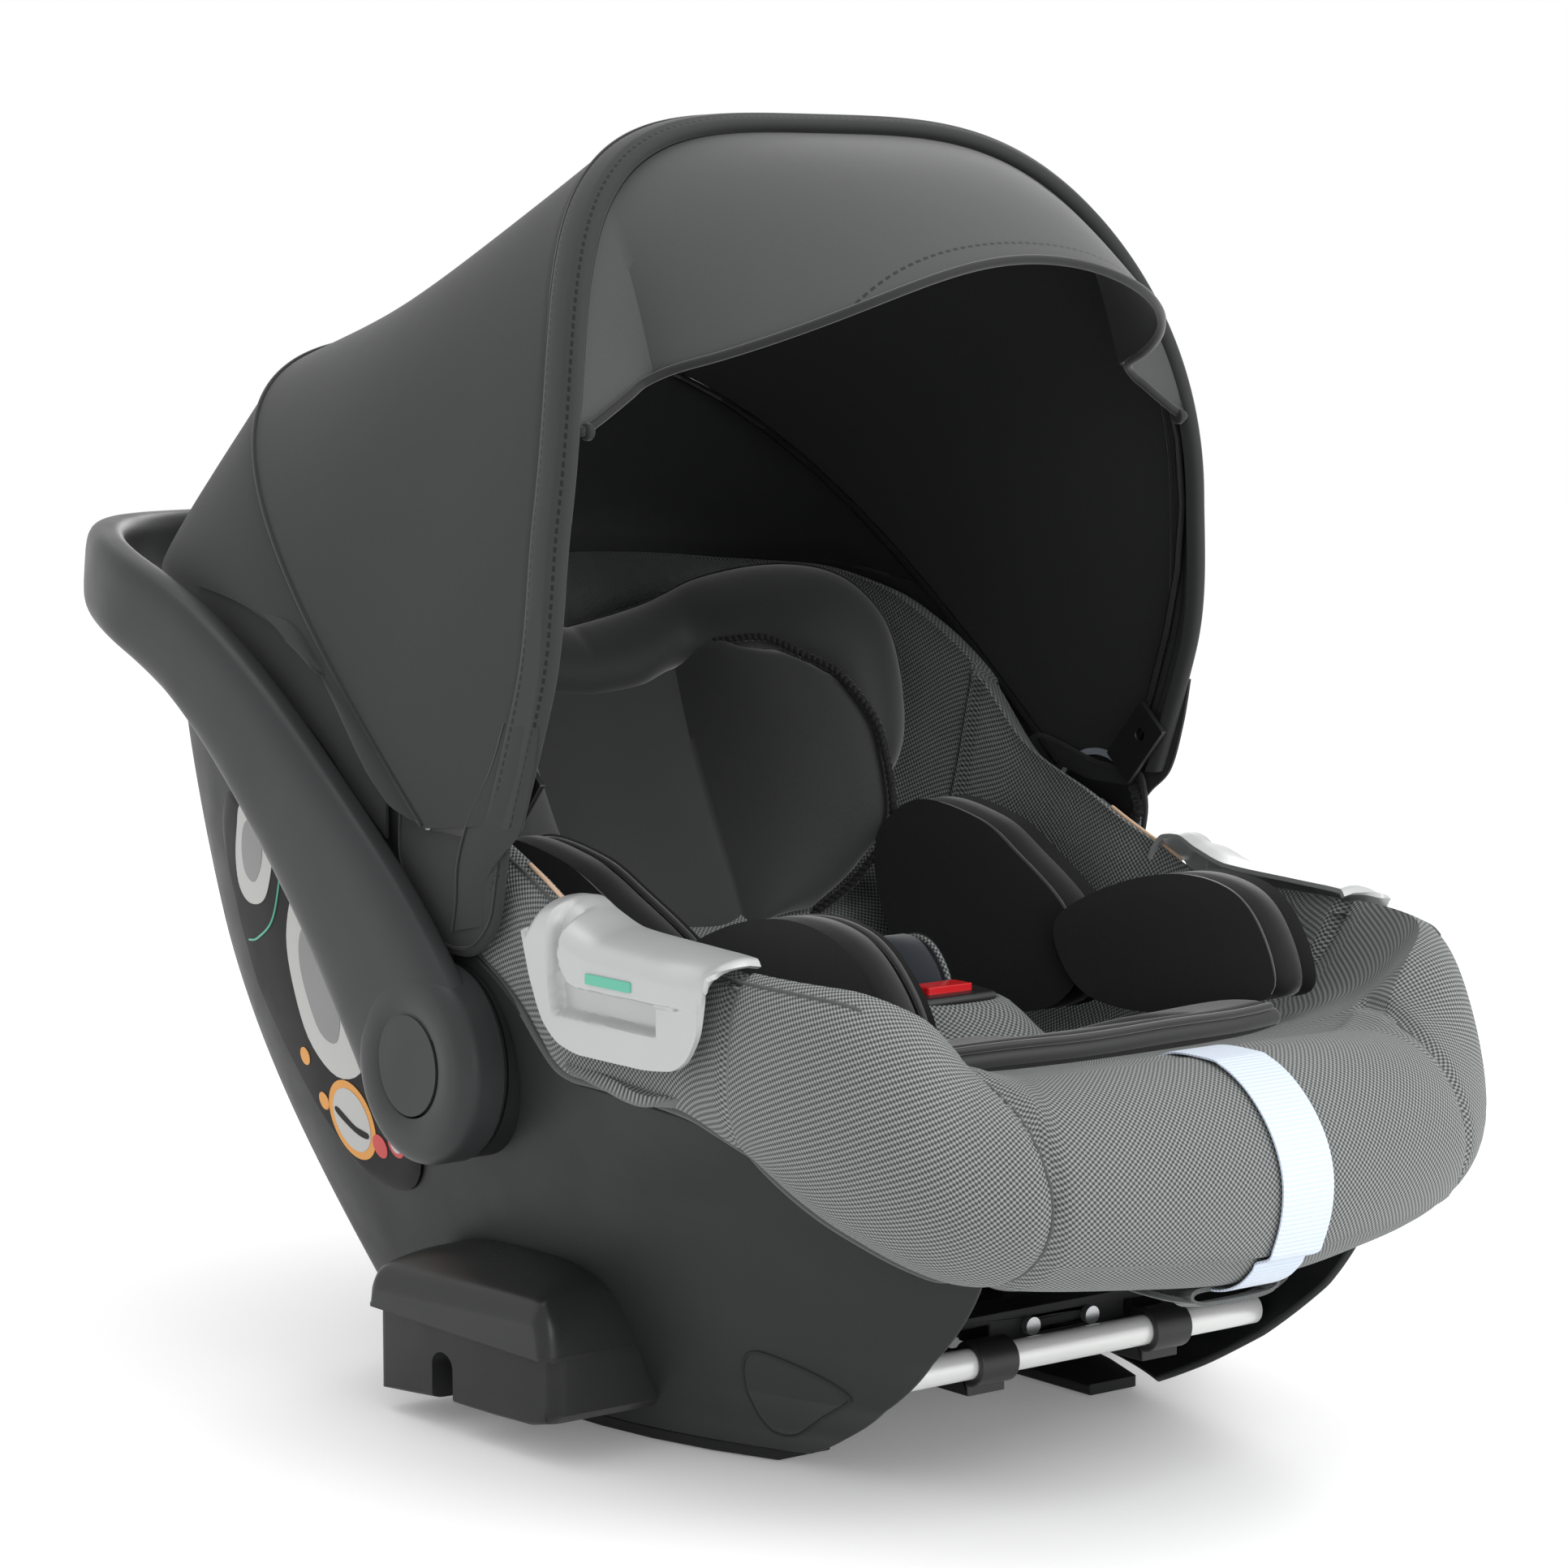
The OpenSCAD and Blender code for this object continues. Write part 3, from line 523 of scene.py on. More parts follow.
plastic("shell", (0.021, 0.023, 0.022), 0.46, 1500, 0.00009, spec=0.2)
plastic("shell_dark", (0.014, 0.015, 0.0145), 0.5, 1500, 0.00008, spec=0.2)
plastic("handle", (0.031, 0.032, 0.033), 0.38, 1800, 0.00005, spec=0.22)
plastic("adapter", (0.017, 0.018, 0.0175), 0.3, 1600, 0.00004, spec=0.25)
plastic("foot", (0.019, 0.020, 0.0195), 0.42, 1500, 0.00007, spec=0.2)
plastic("panel", (0.004, 0.0042, 0.0042), 0.4, 600, 0.00002, spec=0.12)
plastic("gap", (0.004, 0.004, 0.004), 0.7)
plastic("silver", (0.47, 0.48, 0.48), 0.36, 2600, 0.00002, metal=0.25, vary=0.03)
plastic("green", (0.10, 0.44, 0.31), 0.42, 2000, 0.00002)
plastic("print_grey", (0.42, 0.42, 0.41), 0.4, 900, 0.00002)
plastic("print_line", (0.20, 0.20, 0.20), 0.4, 900, 0.00002)
plastic("print_orange", (0.62, 0.26, 0.03), 0.4, 900, 0.00002)
plastic("print_red", (0.50, 0.03, 0.03), 0.4, 900, 0.00002)
cloth("binding", (0.075, 0.080, 0.078), 0.7, 900, 0.0001, 0.2)
cloth("cord_trim", (0.72, 0.50, 0.34), 0.6, 1200, 0.00005, 0.2)
cloth("elastic", (0.010, 0.010, 0.010), 0.7, 900, 0.0002, 0.2, wrinkle=0.001)
plastic("rod", (0.78, 0.79, 0.78), 0.3, 1200, 0.00002, metal=0.3, vary=0.04)
plastic("steel", (0.50, 0.51, 0.52), 0.3, 1800, 0.00002, metal=0.9, vary=0.05)
plastic("foam", (0.70, 0.70, 0.68), 0.8, 240, 0.0004)
plastic("red", (0.62, 0.012, 0.016), 0.32, 1500, 0.00003, coat=0.2)
plastic("rim", (0.42, 0.46, 0.52), 0.3, 2000, 0.00002, metal=0.3)
plastic("black", (0.012, 0.012, 0.013), 0.4, 1500, 0.00006)
cloth("canopy", (0.029, 0.031, 0.030), 0.78, 1500, 0.00008, 0.12, 0.05, wrinkle=0.0006)
cloth("band", (0.033, 0.035, 0.034), 0.76, 1500, 0.00008, 0.12, 0.05, stitch=(4.5, 21))
# Visor cloth is coloured about twice as light as the canopy cloth: painted light for the light falling on its
# upward face.
cloth("visor", (0.062, 0.065, 0.063), 0.74, 1500, 0.00008, 0.15, 0.05, stitch=(150,), wrinkle=0.0006)
cloth("piping", (0.016, 0.017, 0.0165), 0.6, 1600, 0.00006, 0.3)
cloth("lining", (0.028, 0.029, 0.0285), 0.8, 900, 0.0001, 0.12, wrinkle=0.0008)
weave("weave", (0.050, 0.055, 0.054), (0.27, 0.285, 0.28), 0.0019)
cloth("jersey", (0.0100, 0.0100, 0.0105), 0.75, 1300, 0.00015, 0.35, 0.1, wrinkle=0.0006)
cloth("jersey_satin", (0.034, 0.034, 0.035), 0.5, 1700, 0.00006, 0.6, wrinkle=0.0008)
cloth("head", (0.040, 0.041, 0.042), 0.8, 1500, 0.00012, 0.4, 0.1, wrinkle=0.0005)
cloth("head_roll", (0.034, 0.035, 0.036), 0.62, 1700, 0.0001, 0.6, 0.08, wrinkle=0.0009)
mesh_cloth("mesh", (0.022, 0.022, 0.023))
cloth("rope", (0.014, 0.014, 0.0145), 0.6, 700, 0.0003, 0.3)
webbing("strap", (0.60, 0.68, 0.80))
webbing("loop", (0.10, 0.11, 0.108))
cloth("crotch", (0.012, 0.016, 0.022), 0.8, 1200, 0.00012, 0.3)

# ---------------------------------------------------------------------------------------------
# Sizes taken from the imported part


def joint(name):
    return next(j for j in frame["record"]["behaviour"]["joints"] if j["name"] == name)


def box(node):
    lo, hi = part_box(node)
    return np.array(lo) * 1000, np.array(hi) * 1000


def pos(name):
    return np.array(joint(name)["pos_m"]) * 1000


PIVOT = pos("handle_swing")
HUB = pos("canopy_fold")
CHEEK = pos("visor_tuck")
SHELL_HALF, FLOOR_HALF = 195, 140
FLOOR_FRONT, FLOOR_BACK, SIDE_END = -160, box("base_rim")[1][1], 40
BACK_SQUARE = 3.6
NOSE_FRONT = float(start_lo[1]) * 1000
COVER_T = 8
CANOPY_HALF = box("canopy_pocket_right")[1][0]
CANOPY_TOP = float(start_hi[2]) * 1000
HANDLE_HALF = box("carry_handle")[1][0]

# The tub's outer surface


def front_y(z):
    return FLOOR_FRONT - 160 * sind(90 * clamp(z / 150, 0, 1) ** 0.8)


def back_y(z):
    return FLOOR_BACK + 200 * sind(90 * clamp(z / 400, 0, 1) ** 1.08)


def full_half(z):
    return mix(FLOOR_HALF, SHELL_HALF, sind(90 * min(z, 220) / 220))


DRAW_IN = [[0, 1.13], [20, 0.7], [40, 0.49], [70, 0.38], [130, 0.35], [176, 0.08]]


def side_x(y, z):
    k = np.interp(z, [p[0] for p in DRAW_IN], [p[1] for p in DRAW_IN])
    return full_half(z) * (1 - k * (max(0, -20 - y) / 300) ** 2.2)


def tub_xy(u, z, out=0.0):
    if u < 0.5:
        y = mix(front_y(z), SIDE_END, 2 * u)
        return V(side_x(y, z) + out, y)
    a = even_angle(2 * u - 1)
    return V((full_half(z) + out) * soft(cosd(a), BACK_SQUARE),
             SIDE_END + (back_y(z) + out - SIDE_END) * soft(sind(a), BACK_SQUARE))


RIM = [[-320, 120], [-292, 124], [-267, 131], [-245, 145], [-232, 155], [-199, 171], [-145, 176], [-107, 178],
       [-98, 186], [-79, 204], [-59, 218], [-36, 229], [0, 262], [40, 316], [77, 340], [115, 358], [152,
               366], [333, 372]]


def rim_z(y):
    return float(np.interp(y, [p[0] for p in RIM], [p[1] for p in RIM]))


def smooth_rim_z(y):
    return float(np.mean([rim_z(y + d) for d in (-8, -4, 0, 4, 8)]))


def plan_y(u):
    return tub_xy(u, 150 if u < 0.5 else 370)[1]


def tub_grid(u0, z0, drop, out, rows, cols, top=None):
    g = []
    for i in range(-rows, rows + 1):
        u = mix(1, u0, abs(i) / rows)
        zt = (smooth_rim_z(plan_y(u)) if top is None else top(u)) - drop
        row = []
        for j in range(cols + 1):
            z = mix(z0, zt, j / cols)
            p = tub_xy(u, z, out)
            row.append([p[0] if i < 0 else -p[0], p[1], z])
        g.append(row)
    return np.array(g)


# The seat's inner surface
SEAT = [[-345, 193], [-280, 192], [-230, 186], [-180, 172], [-130, 155], [-80, 142], [-40, 140], [0, 155],
        [60, 205],
        [120, 268], [180, 328], [240, 372], [320, 386]]


def seat_z(y):
    return look(y, SEAT)


NOSE, SIDE, START = 0.3, 0.6, -225
CREST = [[0, 195], [0.1, 196], [0.15, 206], [0.2, 228], [0.25, 239], [0.3, 241], [0.4, 241], [0.45, 256],
         [0.5, 276],
         [0.555, 296], [0.6, 331], [0.64, 355], [0.68, 373], [0.72, 380], [1, 386]]


def nose_turn(w):
    return 90 * w / NOSE


def side_y(w):
    return mix(START, SIDE_END, (w - NOSE) / (SIDE - NOSE))


def back_t(w):
    return (w - SIDE) / (1 - SIDE)


def back_w_xy(w, out):
    return tub_xy(0.5 + back_t(w) / 2, 360, out)


def bulge_out(w):
    return look(w, [[0.3, 4], [0.42, 3], [0.48, -1.5], [1, -1.5]])


def bulge_xy(w):
    if w < NOSE:
        return V(SHELL_HALF * soft(sind(nose_turn(w)), 2.8),
                 START - 5 + (NOSE_FRONT + 6 - START + 5) * soft(cosd(nose_turn(w)), 2.8))
    if w < SIDE:
        return V(side_x(max(side_y(w), -150), 176) + bulge_out(w), side_y(w))
    return back_w_xy(w, bulge_out(w))


def hem_z(w):
    if w < NOSE:
        return look(w, [[0, 99], [0.15, 110], [0.22, 130], [0.3, 160]])
    return (smooth_rim_z(side_y(w)) if w < SIDE else smooth_rim_z(back_w_xy(w, 0)[1])) + 0.8


def hem_xy(w):
    if w < NOSE:
        return V((side_x(START, 160) + 2) * sind(nose_turn(w)), START - 112 * cosd(nose_turn(w)))
    if w < SIDE:
        return V(side_x(side_y(w), hem_z(w)) + min(1.5, bulge_out(w)), side_y(w))
    return back_w_xy(w, bulge_out(w))


def crest_in(w):
    return look(w, [[0, 53], [0.15, 46], [0.24, 22], [0.3, 14], [1, 14]])


def crest_xy(w):
    if w < 0.004:
        n = V(0, 1)
    elif w > 0.996:
        n = V(0, -1)
    else:
        t = unit(bulge_xy(min(w + 0.004, 1)) - bulge_xy(max(w - 0.004, 0)))
        n = V(-t[1], t[0])
    return bulge_xy(w) + crest_in(w) * n


SLOT_HALF = 34


def slot_xy(w):
    if w < NOSE:
        return V(SLOT_HALF * sind(nose_turn(w)), -190 - 20 * cosd(nose_turn(w)))
    if w < SIDE:
        return V(SLOT_HALF, mix(-190, 40, (w - NOSE) / (SIDE - NOSE)))
    return V(SLOT_HALF * cosd(90 * clamp((back_t(w) - 0.7) / 0.3, 0, 1)),
             mix(40, 190, min(1, back_t(w) / 0.7)))


def crest_z(w):
    return look(w, CREST)


# The carry handle
BAR_X, BAR_Y, BAR_Z, BOW_R, HANDLE_T = HANDLE_HALF - 10.25, 374.6, 392, 150, 20.5
T_ARM = np.linspace(0, 1, 400)[:, None]
ARM = (1 - T_ARM) ** 2 * PIVOT[1:] + 2 * T_ARM * (1 - T_ARM) * V(138, 396) + T_ARM ** 2 * V(BAR_Y, BAR_Z)
ARM_S = lengths(ARM)
ARM_L = ARM_S[-1]


def arm_at(s):
    return V(np.interp(s, ARM_S, ARM[:, 0]), np.interp(s, ARM_S, ARM[:, 1]))


def arm_width(s):
    return look(s, [[0, 92], [60, 84], [120, 72], [200, 60], [280, 50], [ARM_L, 38]])


def arm_shift(s):
    return look(s, [[0, 0], [60, 2], [150, 5], [280, 0]])


# The canopy
TIP_Z, ARCH_SQUARE, REAR_SQUARE, BAND_W = 248, 3.6, 3.2, 24
REAR_REACH, REAR_ANGLE = 378, 40
CANOPY_CENTRE = V(0, 60, 330)


def front_edge_y(z):
    low = step(z, 262, 292) * (1 - step(z, 350, 430))
    return -58 - 56.5 * sind(180 * clamp((z - TIP_Z) / (CANOPY_TOP - TIP_Z), 0, 1) ** 1.15) - 9 * low


def arch(a, inset, back):
    k = soft(sind(a), ARCH_SQUARE)
    return V((CANOPY_HALF - inset) * soft(cosd(a), ARCH_SQUARE),
             front_edge_y(mix(TIP_Z, CANOPY_TOP, k)) + back,
             mix(TIP_Z, CANOPY_TOP - inset, k))


def rear_arch(a, inset=0.0):
    r = (REAR_REACH - inset) * soft(sind(a), REAR_SQUARE)
    return V((CANOPY_HALF - inset) * soft(cosd(a), REAR_SQUARE), HUB[1] + r * cosd(REAR_ANGLE),
             HUB[2] + r * sind(REAR_ANGLE))


def tail(a):
    y = mix(HUB[1], 342, soft(sind(a), 4))
    return V((CANOPY_HALF - 1) * soft(cosd(a), 4), y,
             look(y, [[HUB[1], 250], [40, 303], [115, 348], [342, 364]]))


def tail_rise(y):
    return look(y, [[40, 2], [115, 24], [342, 28]])


def even_rows(curve, n, end):
    """Points spread evenly by length along curve(angle), with their angles."""
    t = np.linspace(end, 2 - end, 900)
    p = np.array([curve(even_angle(v)) for v in t])
    s = lengths(p)
    return [even_angle(float(np.interp(v, s, t))) for v in np.linspace(0, s[-1], n + 1)]


def visor_lip(x, half):
    k = max(0.0, 1 - (abs(x) / 142) ** 4)
    return V(x, CHEEK[1] - 95 * k, CHEEK[2] + 76 * max(0.0, 1 - (abs(x) / half) ** 2) ** 1.2)


# ---------------------------------------------------------------------------------------------
# Shell and hard parts

SIDES = ((-1, "left"), (1, "right"))

shell = sheet("shell", tub_grid(0, 6.2, 0, 0, 130, 44), 4, sharp=50)
add_bevel(shell, 1.2)
place(shell, "seat", "shell", "outer_shell", slot="outer_shell")

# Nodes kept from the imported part: material and bevel
CARRIED = {
    "base_rim": ("shell_dark", 1.0), "foam_liner": ("foam", 0), "seat_pan": ("shell_dark", 0.6),
    "base_rod": ("rod", 0.6), "rod_clamps": ("black", 0.8), "rod_bracket": ("shell_dark", 1.2),
    "bracket_screws": ("steel", 0.4), "buckle_body": ("black", 1.5), "buckle_tongues": ("steel", 0.5),
    "buckle_button": ("red", 1.4), "adjuster_housing": ("black", 0.8), "adjuster_lever": ("steel", 0.5),
    "canopy_rear_bow": ("black", 0), "canopy_front_bow": ("black", 0),
}
CARRIED_PAIRS = {
    "hub_flange": ("shell_dark", 1.5), "guide_mark": ("green", 0.8), "handle_button": ("handle", 1.4),
    "canopy_hub": ("black", 0.8), "hub_rim": ("rim", 0.6), "canopy_clip": ("black", 0.7),
}
for node, look_of in CARRIED_PAIRS.items():
    CARRIED.update({node + "_" + label: look_of for _, label in SIDES})
for node, (mat, width) in CARRIED.items():
    ob = frame["nodes"][node]
    ob.data.materials.clear()
    ob.data.materials.append(M[mat])
    if width:
        add_bevel(ob, width, angle=38, segments=3, weld=True)


def wall_x(y, z, out=0.0):
    """Half width of the tub at a point of its side."""
    if y < SIDE_END:
        return side_x(y, z) + out
    t = clamp((y - SIDE_END) / (back_y(z) + out - SIDE_END), 0, 1)
    return (full_half(z) + out) * (1 - t ** BACK_SQUARE) ** (1 / BACK_SQUARE)


def patch(name, outline, side, out, thick, count=96, rings=26, soft_edge=0.0):
    """Plate that follows the tub's side inside an outline given in the side view."""
    o = spline(outline, count, closed=True)
    c = o.mean(axis=0)
    top, under = [], []
    for p in o:
        a, b = [], []
        for k in np.linspace(0.01, 1, rings):
            y, z = c + (p - c) * k
            a.append((side * wall_x(y, z, out - soft_edge * (k > 0.985)), y, z))
            b.append((side * wall_x(y, z, out - thick), y, z))
        top.append(a)
        under.append(b)
    return slab(name, top, under, wrap=True)


PANEL = [(177, 283), (189, 270), (188, 250), (178, 227), (156, 186), (127, 150), (105, 125), (78, 104),
         (48, 100), (31, 107), (23, 122),
         (34, 142), (60, 172), (90, 206), (120, 240), (150, 270)]
PLUG = [(-174, 17), (-170, 24), (-171, 36), (-176, 52), (-184, 60), (-196, 60), (-216, 54), (-227, 47),
        (-226, 42), (-206, 31), (-186, 19)]


def disc(y, z, r, n=16):
    return [(y + r * cosd(a), z + r * sind(a)) for a in np.linspace(0, 360, n, endpoint=False)]


MARKS = [
    ("mark_seat_a", [(165, 277), (150, 281), (138, 276), (131, 262), (135, 242), (143, 231), (158, 229),
            (169, 236), (172, 250), (169, 266)],
     "print_grey", 2.9),
    ("mark_bowl_a", [(160, 268), (150, 271), (142, 264), (143, 250), (151, 240), (161, 244), (164, 256)],
     "print_line", 3.1),
    ("mark_seat_b", [(100, 250), (84, 254), (70, 246), (58, 226), (50, 200), (52, 172), (62, 156), (84, 152),
            (104, 166), (114, 190),
                     (119, 216), (113, 238)], "print_grey", 2.9),
    ("mark_bowl_b", [(104, 222), (92, 228), (80, 216), (72, 190), (78, 170), (92, 172), (102, 190),
            (107, 208)], "print_line", 3.1),
    ("mark_ring", disc(77, 131, 20), "print_orange", 2.9), ("mark_ring_face", disc(77, 131, 16),
            "print_grey", 3.1),
    ("mark_bar", [(88, 136), (74, 128), (64, 126), (66, 123), (76, 125), (90, 133)], "panel", 3.3),
    ("mark_step_a", disc(112, 158, 4.5), "print_orange", 2.9), ("mark_step_b", disc(101, 137, 4.5),
            "print_orange", 2.9),
    ("mark_stop_a", disc(56, 121, 6), "print_red", 2.9), ("mark_stop_b", disc(41, 124, 6.5), "print_red",
            2.9),
    ("mark_stop_face", disc(41, 124, 4.2), "print_grey", 3.1),
]
for side, label in SIDES:
    ob = patch("panel_" + label, PANEL, side, 2.6, 2.2, soft_edge=0.8)
    place(ob, "seat", "panel", "side_panel_" + label, slot="side_panel")
    ob = patch("plug_" + label, PLUG, side, 0.9, 1.6, rings=14, soft_edge=0.8)
    place(ob, "seat", "shell", "access_plug_" + label, slot="access_plug")
    line = spline(PLUG, 120, closed=True)
    trim("plug_gap_" + label, [(side * wall_x(y, z, 0.1), y, z) for y, z in line], 0.9, "gap", "access_plug",
         closed=True)
    for name, outline, mat, out in MARKS:
        ob = patch(name + "_" + label, outline, side, out, 0.6, count=48, rings=8)
        place(ob, "seat", mat, slot="side_panel")
    line = spline([(122, 262), (126, 240), (134, 222), (150, 212), (160, 210)], 40)
    trim("mark_path_" + label, [(side * wall_x(y, z, 2.7), y, z) for y, z in line], 0.6, "green",
         "side_panel", sides=6)
    ob = patch("hub_tab_" + label, [(22, 128), (24, 150), (40, 156), (50, 148), (46, 128), (34, 122)], side,
               4.5, 4.0, count=48, rings=8, soft_edge=1.2)
    place(ob, "seat", "foot", slot="outer_shell")

# Cap of the pushchair adapter: a rounded block that runs into the tub's side
CAP = [[-112, 44], [-111.4, 56], [-109, 68], [-103, 79], [-90, 85], [-70, 88], [-45, 88.5], [-15, 86],
       [10, 80.5], [28, 72], [34, 62],
       [35.5, 50], [36, 38]]

CAP_LOW, CAP_FRONT, CAP_BACK = 49.5, -112, 36


def soft_min(a, b, k):
    return -k * math.log(math.exp(-a / k) + math.exp(-b / k))


def cap_ring(x, inset):
    y0, y1 = CAP_FRONT + inset, CAP_BACK - inset
    ys = mix(y0, y1, (1 - np.cos(np.linspace(0, math.pi, 54))) / 2)
    ring = []
    for y in ys:
        roof = np.interp(x, [140, 172, 203, 207], [100, 90, 73,
                67]) + (-0.055 * (y + 40) if x > 172 else 0) * (x - 172) / 35
        z = soft_min(look(mix(CAP_FRONT, CAP_BACK, (y - y0) / (y1 - y0)), CAP), roof, 1.6) - inset * 0.9
        ring.append((x, y, max(z, CAP_LOW + 2.5)))
    low = [(x, y, CAP_LOW + min(inset, 2) * 0.5) for y in ys[::-1]]
    return ring + low


xs = [(x, 0.0) for x in np.linspace(138, 199, 24)] + [(199 + 8 * sind(a), 5.5 * (1 - cosd(a))) for a in (12,
        24, 36, 48, 60, 72, 84, 90)]
for side, label in SIDES:
    cap = loft("adapter_cap_" + label, [[(side * x, y, z) for x, y, z in cap_ring(x0, i0)] for x0, i0 in xs],
               sharp=46)
    place(cap, "seat", "adapter", "adapter_housing_" + label, slot="adapter_housing")

# Foot under the cap: upright block with a slot for the pushchair's tongue and a rounded front corner


def foot_ring(x, inset):
    slot = [(-12, 13.1)] + [(-20.5 + 8.5 * cosd(a), 30 + 7 * sind(a)) for a in np.linspace(0, 180,
            13)] + [(-29, 13.6)]
    line = [(35, 9), (10, 11)] + slot + [(-60, 14.3), (-89, 15.6), (-104, 19), (-111, 24),
            (-111, CAP_LOW + 2), (35, CAP_LOW + 2)]
    return [(x, clamp(y, -111 + inset, 35 - inset), z + 0.4 * inset * (z < 30)) for y, z in line]


xs = [(x, 0.0) for x in np.linspace(138, 193, 8)] + [(193 + 8 * sind(a), 7 * (1 - cosd(a))) for a in (15, 30,
        45, 60, 75, 90)]
for side, label in SIDES:
    foot = loft("adapter_block_" + label, [[(side * x, y, z) for x, y, z in foot_ring(x0, i0)] for x0,
            i0 in xs], sharp=46)
    add_bevel(foot, 0.8, 50)
    place(foot, "seat", "foot", "adapter_foot_" + label, slot="adapter_foot")

# Belt guide: a silver plate hooked over the rail, with a boss, a long bulge and a recess for the belt
G_TOP = [[-232, 243], [-229, 247], [-200, 248.5], [-150, 251], [-128, 257], [-114, 262], [-104, 261],
         [-97, 255], [-93, 247]]
G_LOW = [[-232, 241], [-229, 230], [-222, 211], [-214, 201], [-204, 196.5], [-180, 194.5], [-140, 194.5],
         [-124, 197], [-111, 205], [-101, 222], [-95, 239], [-93, 246]]


def guide_x(y, z):
    """Outer face of the guide's plate below its hook."""
    frame_edge = min(y + 194 if z < 224 else 99, -113.5 - y - 0.06 * max(0, 232 - z) ** 1.8 / 4, z - 210.5)
    e = -7.0 * step(frame_edge, -0.8, 2.6)
    pill = math.hypot(max(0, y + 140), z - 239)
    e = mix(e, 3.6, 1 - step(pill, 13.4, 16.8)) if z < 239 or y > -140 else mix(e, 3.6, step(z, 222, 226))
    e *= step(y, -222, -196)
    e += 1.6 * (1 - step(y, -230, -222))
    return 205.2 + e


def guide_grid():
    g = []
    for y in np.linspace(-231.5, -93.4, 118):
        zt, zb = look(y, G_TOP), look(y, G_LOW)
        zs = min(max(zt - 14, zb), zt)
        row = [V(guide_x(y, z), y, z) for z in np.linspace(zb, zs, 44)]
        x0, z0 = row[-1][0], zs
        for a in np.linspace(0, 90, 18)[1:]:
            row.append(V(mix(x0, 182, 1 - cosd(a)), y, z0 + (zt - z0) * sind(a)))
        row.append(V(176, y, zt - 1.0))
        g.append(row)
    return np.array(g)


guide = guide_grid()
for side, label in SIDES:
    g = guide * V(side, 1, 1)
    n = grid_normals(g)
    if n[60, 20][0] * side < 0:
        n = -n
    ob = slab("guide_" + label, g, g - 2.4 * n, sharp=60, two_sided=True)
    add_bevel(ob, 0.7, 50)
    place(ob, "seat", "silver black", "belt_guide_" + label, slot="belt_guide")


def handle_ring(i, path):
    n = len(path)
    p = path[i]
    d = unit(path[min(i + 1, n - 1)] - path[max(i - 1, 0)])
    c = arm_at(p[1])
    k = unit(arm_at(min(p[1] + 3, ARM_L)) - arm_at(max(p[1] - 3, 0)))
    along, wide = V(0, k[0], k[1]), V(0, k[1], -k[0])
    out = V(1, 0, 0) * d[1] - along * d[0]
    w, h = arm_width(p[1]) / 2, HANDLE_T / 2
    ring = []
    for a in np.arange(48) * 7.5:
        # Rounded section, fuller on the outer face
        ring.append(V(p[0], *c) + h * soft(cosd(a), 3.2) * out + (w * soft(sind(a),
                4.2) + arm_shift(p[1])) * wide)
    return ring


path = np.array([[BAR_X, v] for v in np.linspace(0, ARM_L - BOW_R, 60)]
                + [[BAR_X - BOW_R * (1 - cosd(a)), ARM_L - BOW_R * (1 - sind(a))] for a in np.arange(3, 91,
                        3)]
                + [[x, ARM_L] for x in np.linspace(BAR_X - BOW_R, BOW_R - BAR_X, 14)[1:-1]]
                + [[-BAR_X + BOW_R * (1 - cosd(a)), ARM_L - BOW_R * (1 - sind(a))] for a in np.arange(90, 2,
                        -3)]
                + [[-BAR_X, v] for v in np.linspace(ARM_L - BOW_R, 0, 60)])
bar = loft("handle_bow", [handle_ring(i, path) for i in range(len(path))])
place(bar, "handle", "handle", "carry_handle", slot="carry_handle")
HUB_R, HUB_T, FILLET = 47, 24.5, 9
for side, label in SIDES:
    x1, x0 = HANDLE_HALF, HANDLE_HALF - HUB_T
    profile = [(x0, 13), (x0, HUB_R - 5), (x0, HUB_R - 2.6), (x0 + 0.8, HUB_R - 1.4),
               (x0 + 2.4, HUB_R - 0.8), (x0 + 3, HUB_R)]
    profile += [(x1 - FILLET + FILLET * sind(a), HUB_R - FILLET + FILLET * cosd(a)) for a in (0, 15, 30, 45,
            60, 75, 90)]
    profile += [(x1 + 0.3, HUB_R - 12), (x1 + 0.3, 25.6), (x1 - 0.2, 24.6), (x1 - 1.2, 24.2), (x1 - 9, 24.2),
                (x1 - 9, 13),
                (x0, 13)]
    hub = lathe("handle_hub_" + label, profile, PIVOT[1:], side, 120)
    place(hub, "handle", "handle", slot="carry_handle")

# ---------------------------------------------------------------------------------------------
# Canopy: one curved sheet from the rear bow to the front seam, with lining inside

ARCH_ROWS = 150


def ripple(p, a, size):
    """Slow unevenness of stretched cloth."""
    return size * (math.sin(p[0] * 0.031 + a * 0.05) * math.sin(p[1] * 0.027 + p[2] * 0.022 + 1.3)
                   + 0.5 * math.sin(p[0] * 0.052 - p[2] * 0.043 + 0.6))


main = []
for a in even_rows(lambda v: (rear_arch(v) + arch(v, 0, BAND_W)) / 2, ARCH_ROWS, 0.08):
    p, q = rear_arch(a), arch(a, 0, BAND_W)
    row = []
    for t in np.linspace(0.004, 0.996, 56):
        r = mix(p, q, t)
        hold = math.sin(math.pi * t) ** 0.6
        r = r - V(0, 0, 9 * sind(a) * sind(180 * t))
        out = unit(r - CANOPY_CENTRE)
        row.append(r + out * ripple(r, a, 0.9) * hold)
    main.append(row + [arch(a, 0.7, BAND_W - 3), arch(a, 0.9, BAND_W - 7)])
main = np.array(main)
main_panel = sheet("main_panel", main, 1.6, two_sided=True)
main_panel.data.materials.append(M["canopy"])
main_panel.data.materials.append(M["lining"])
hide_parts("canopy_main_panel")
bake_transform(main_panel)

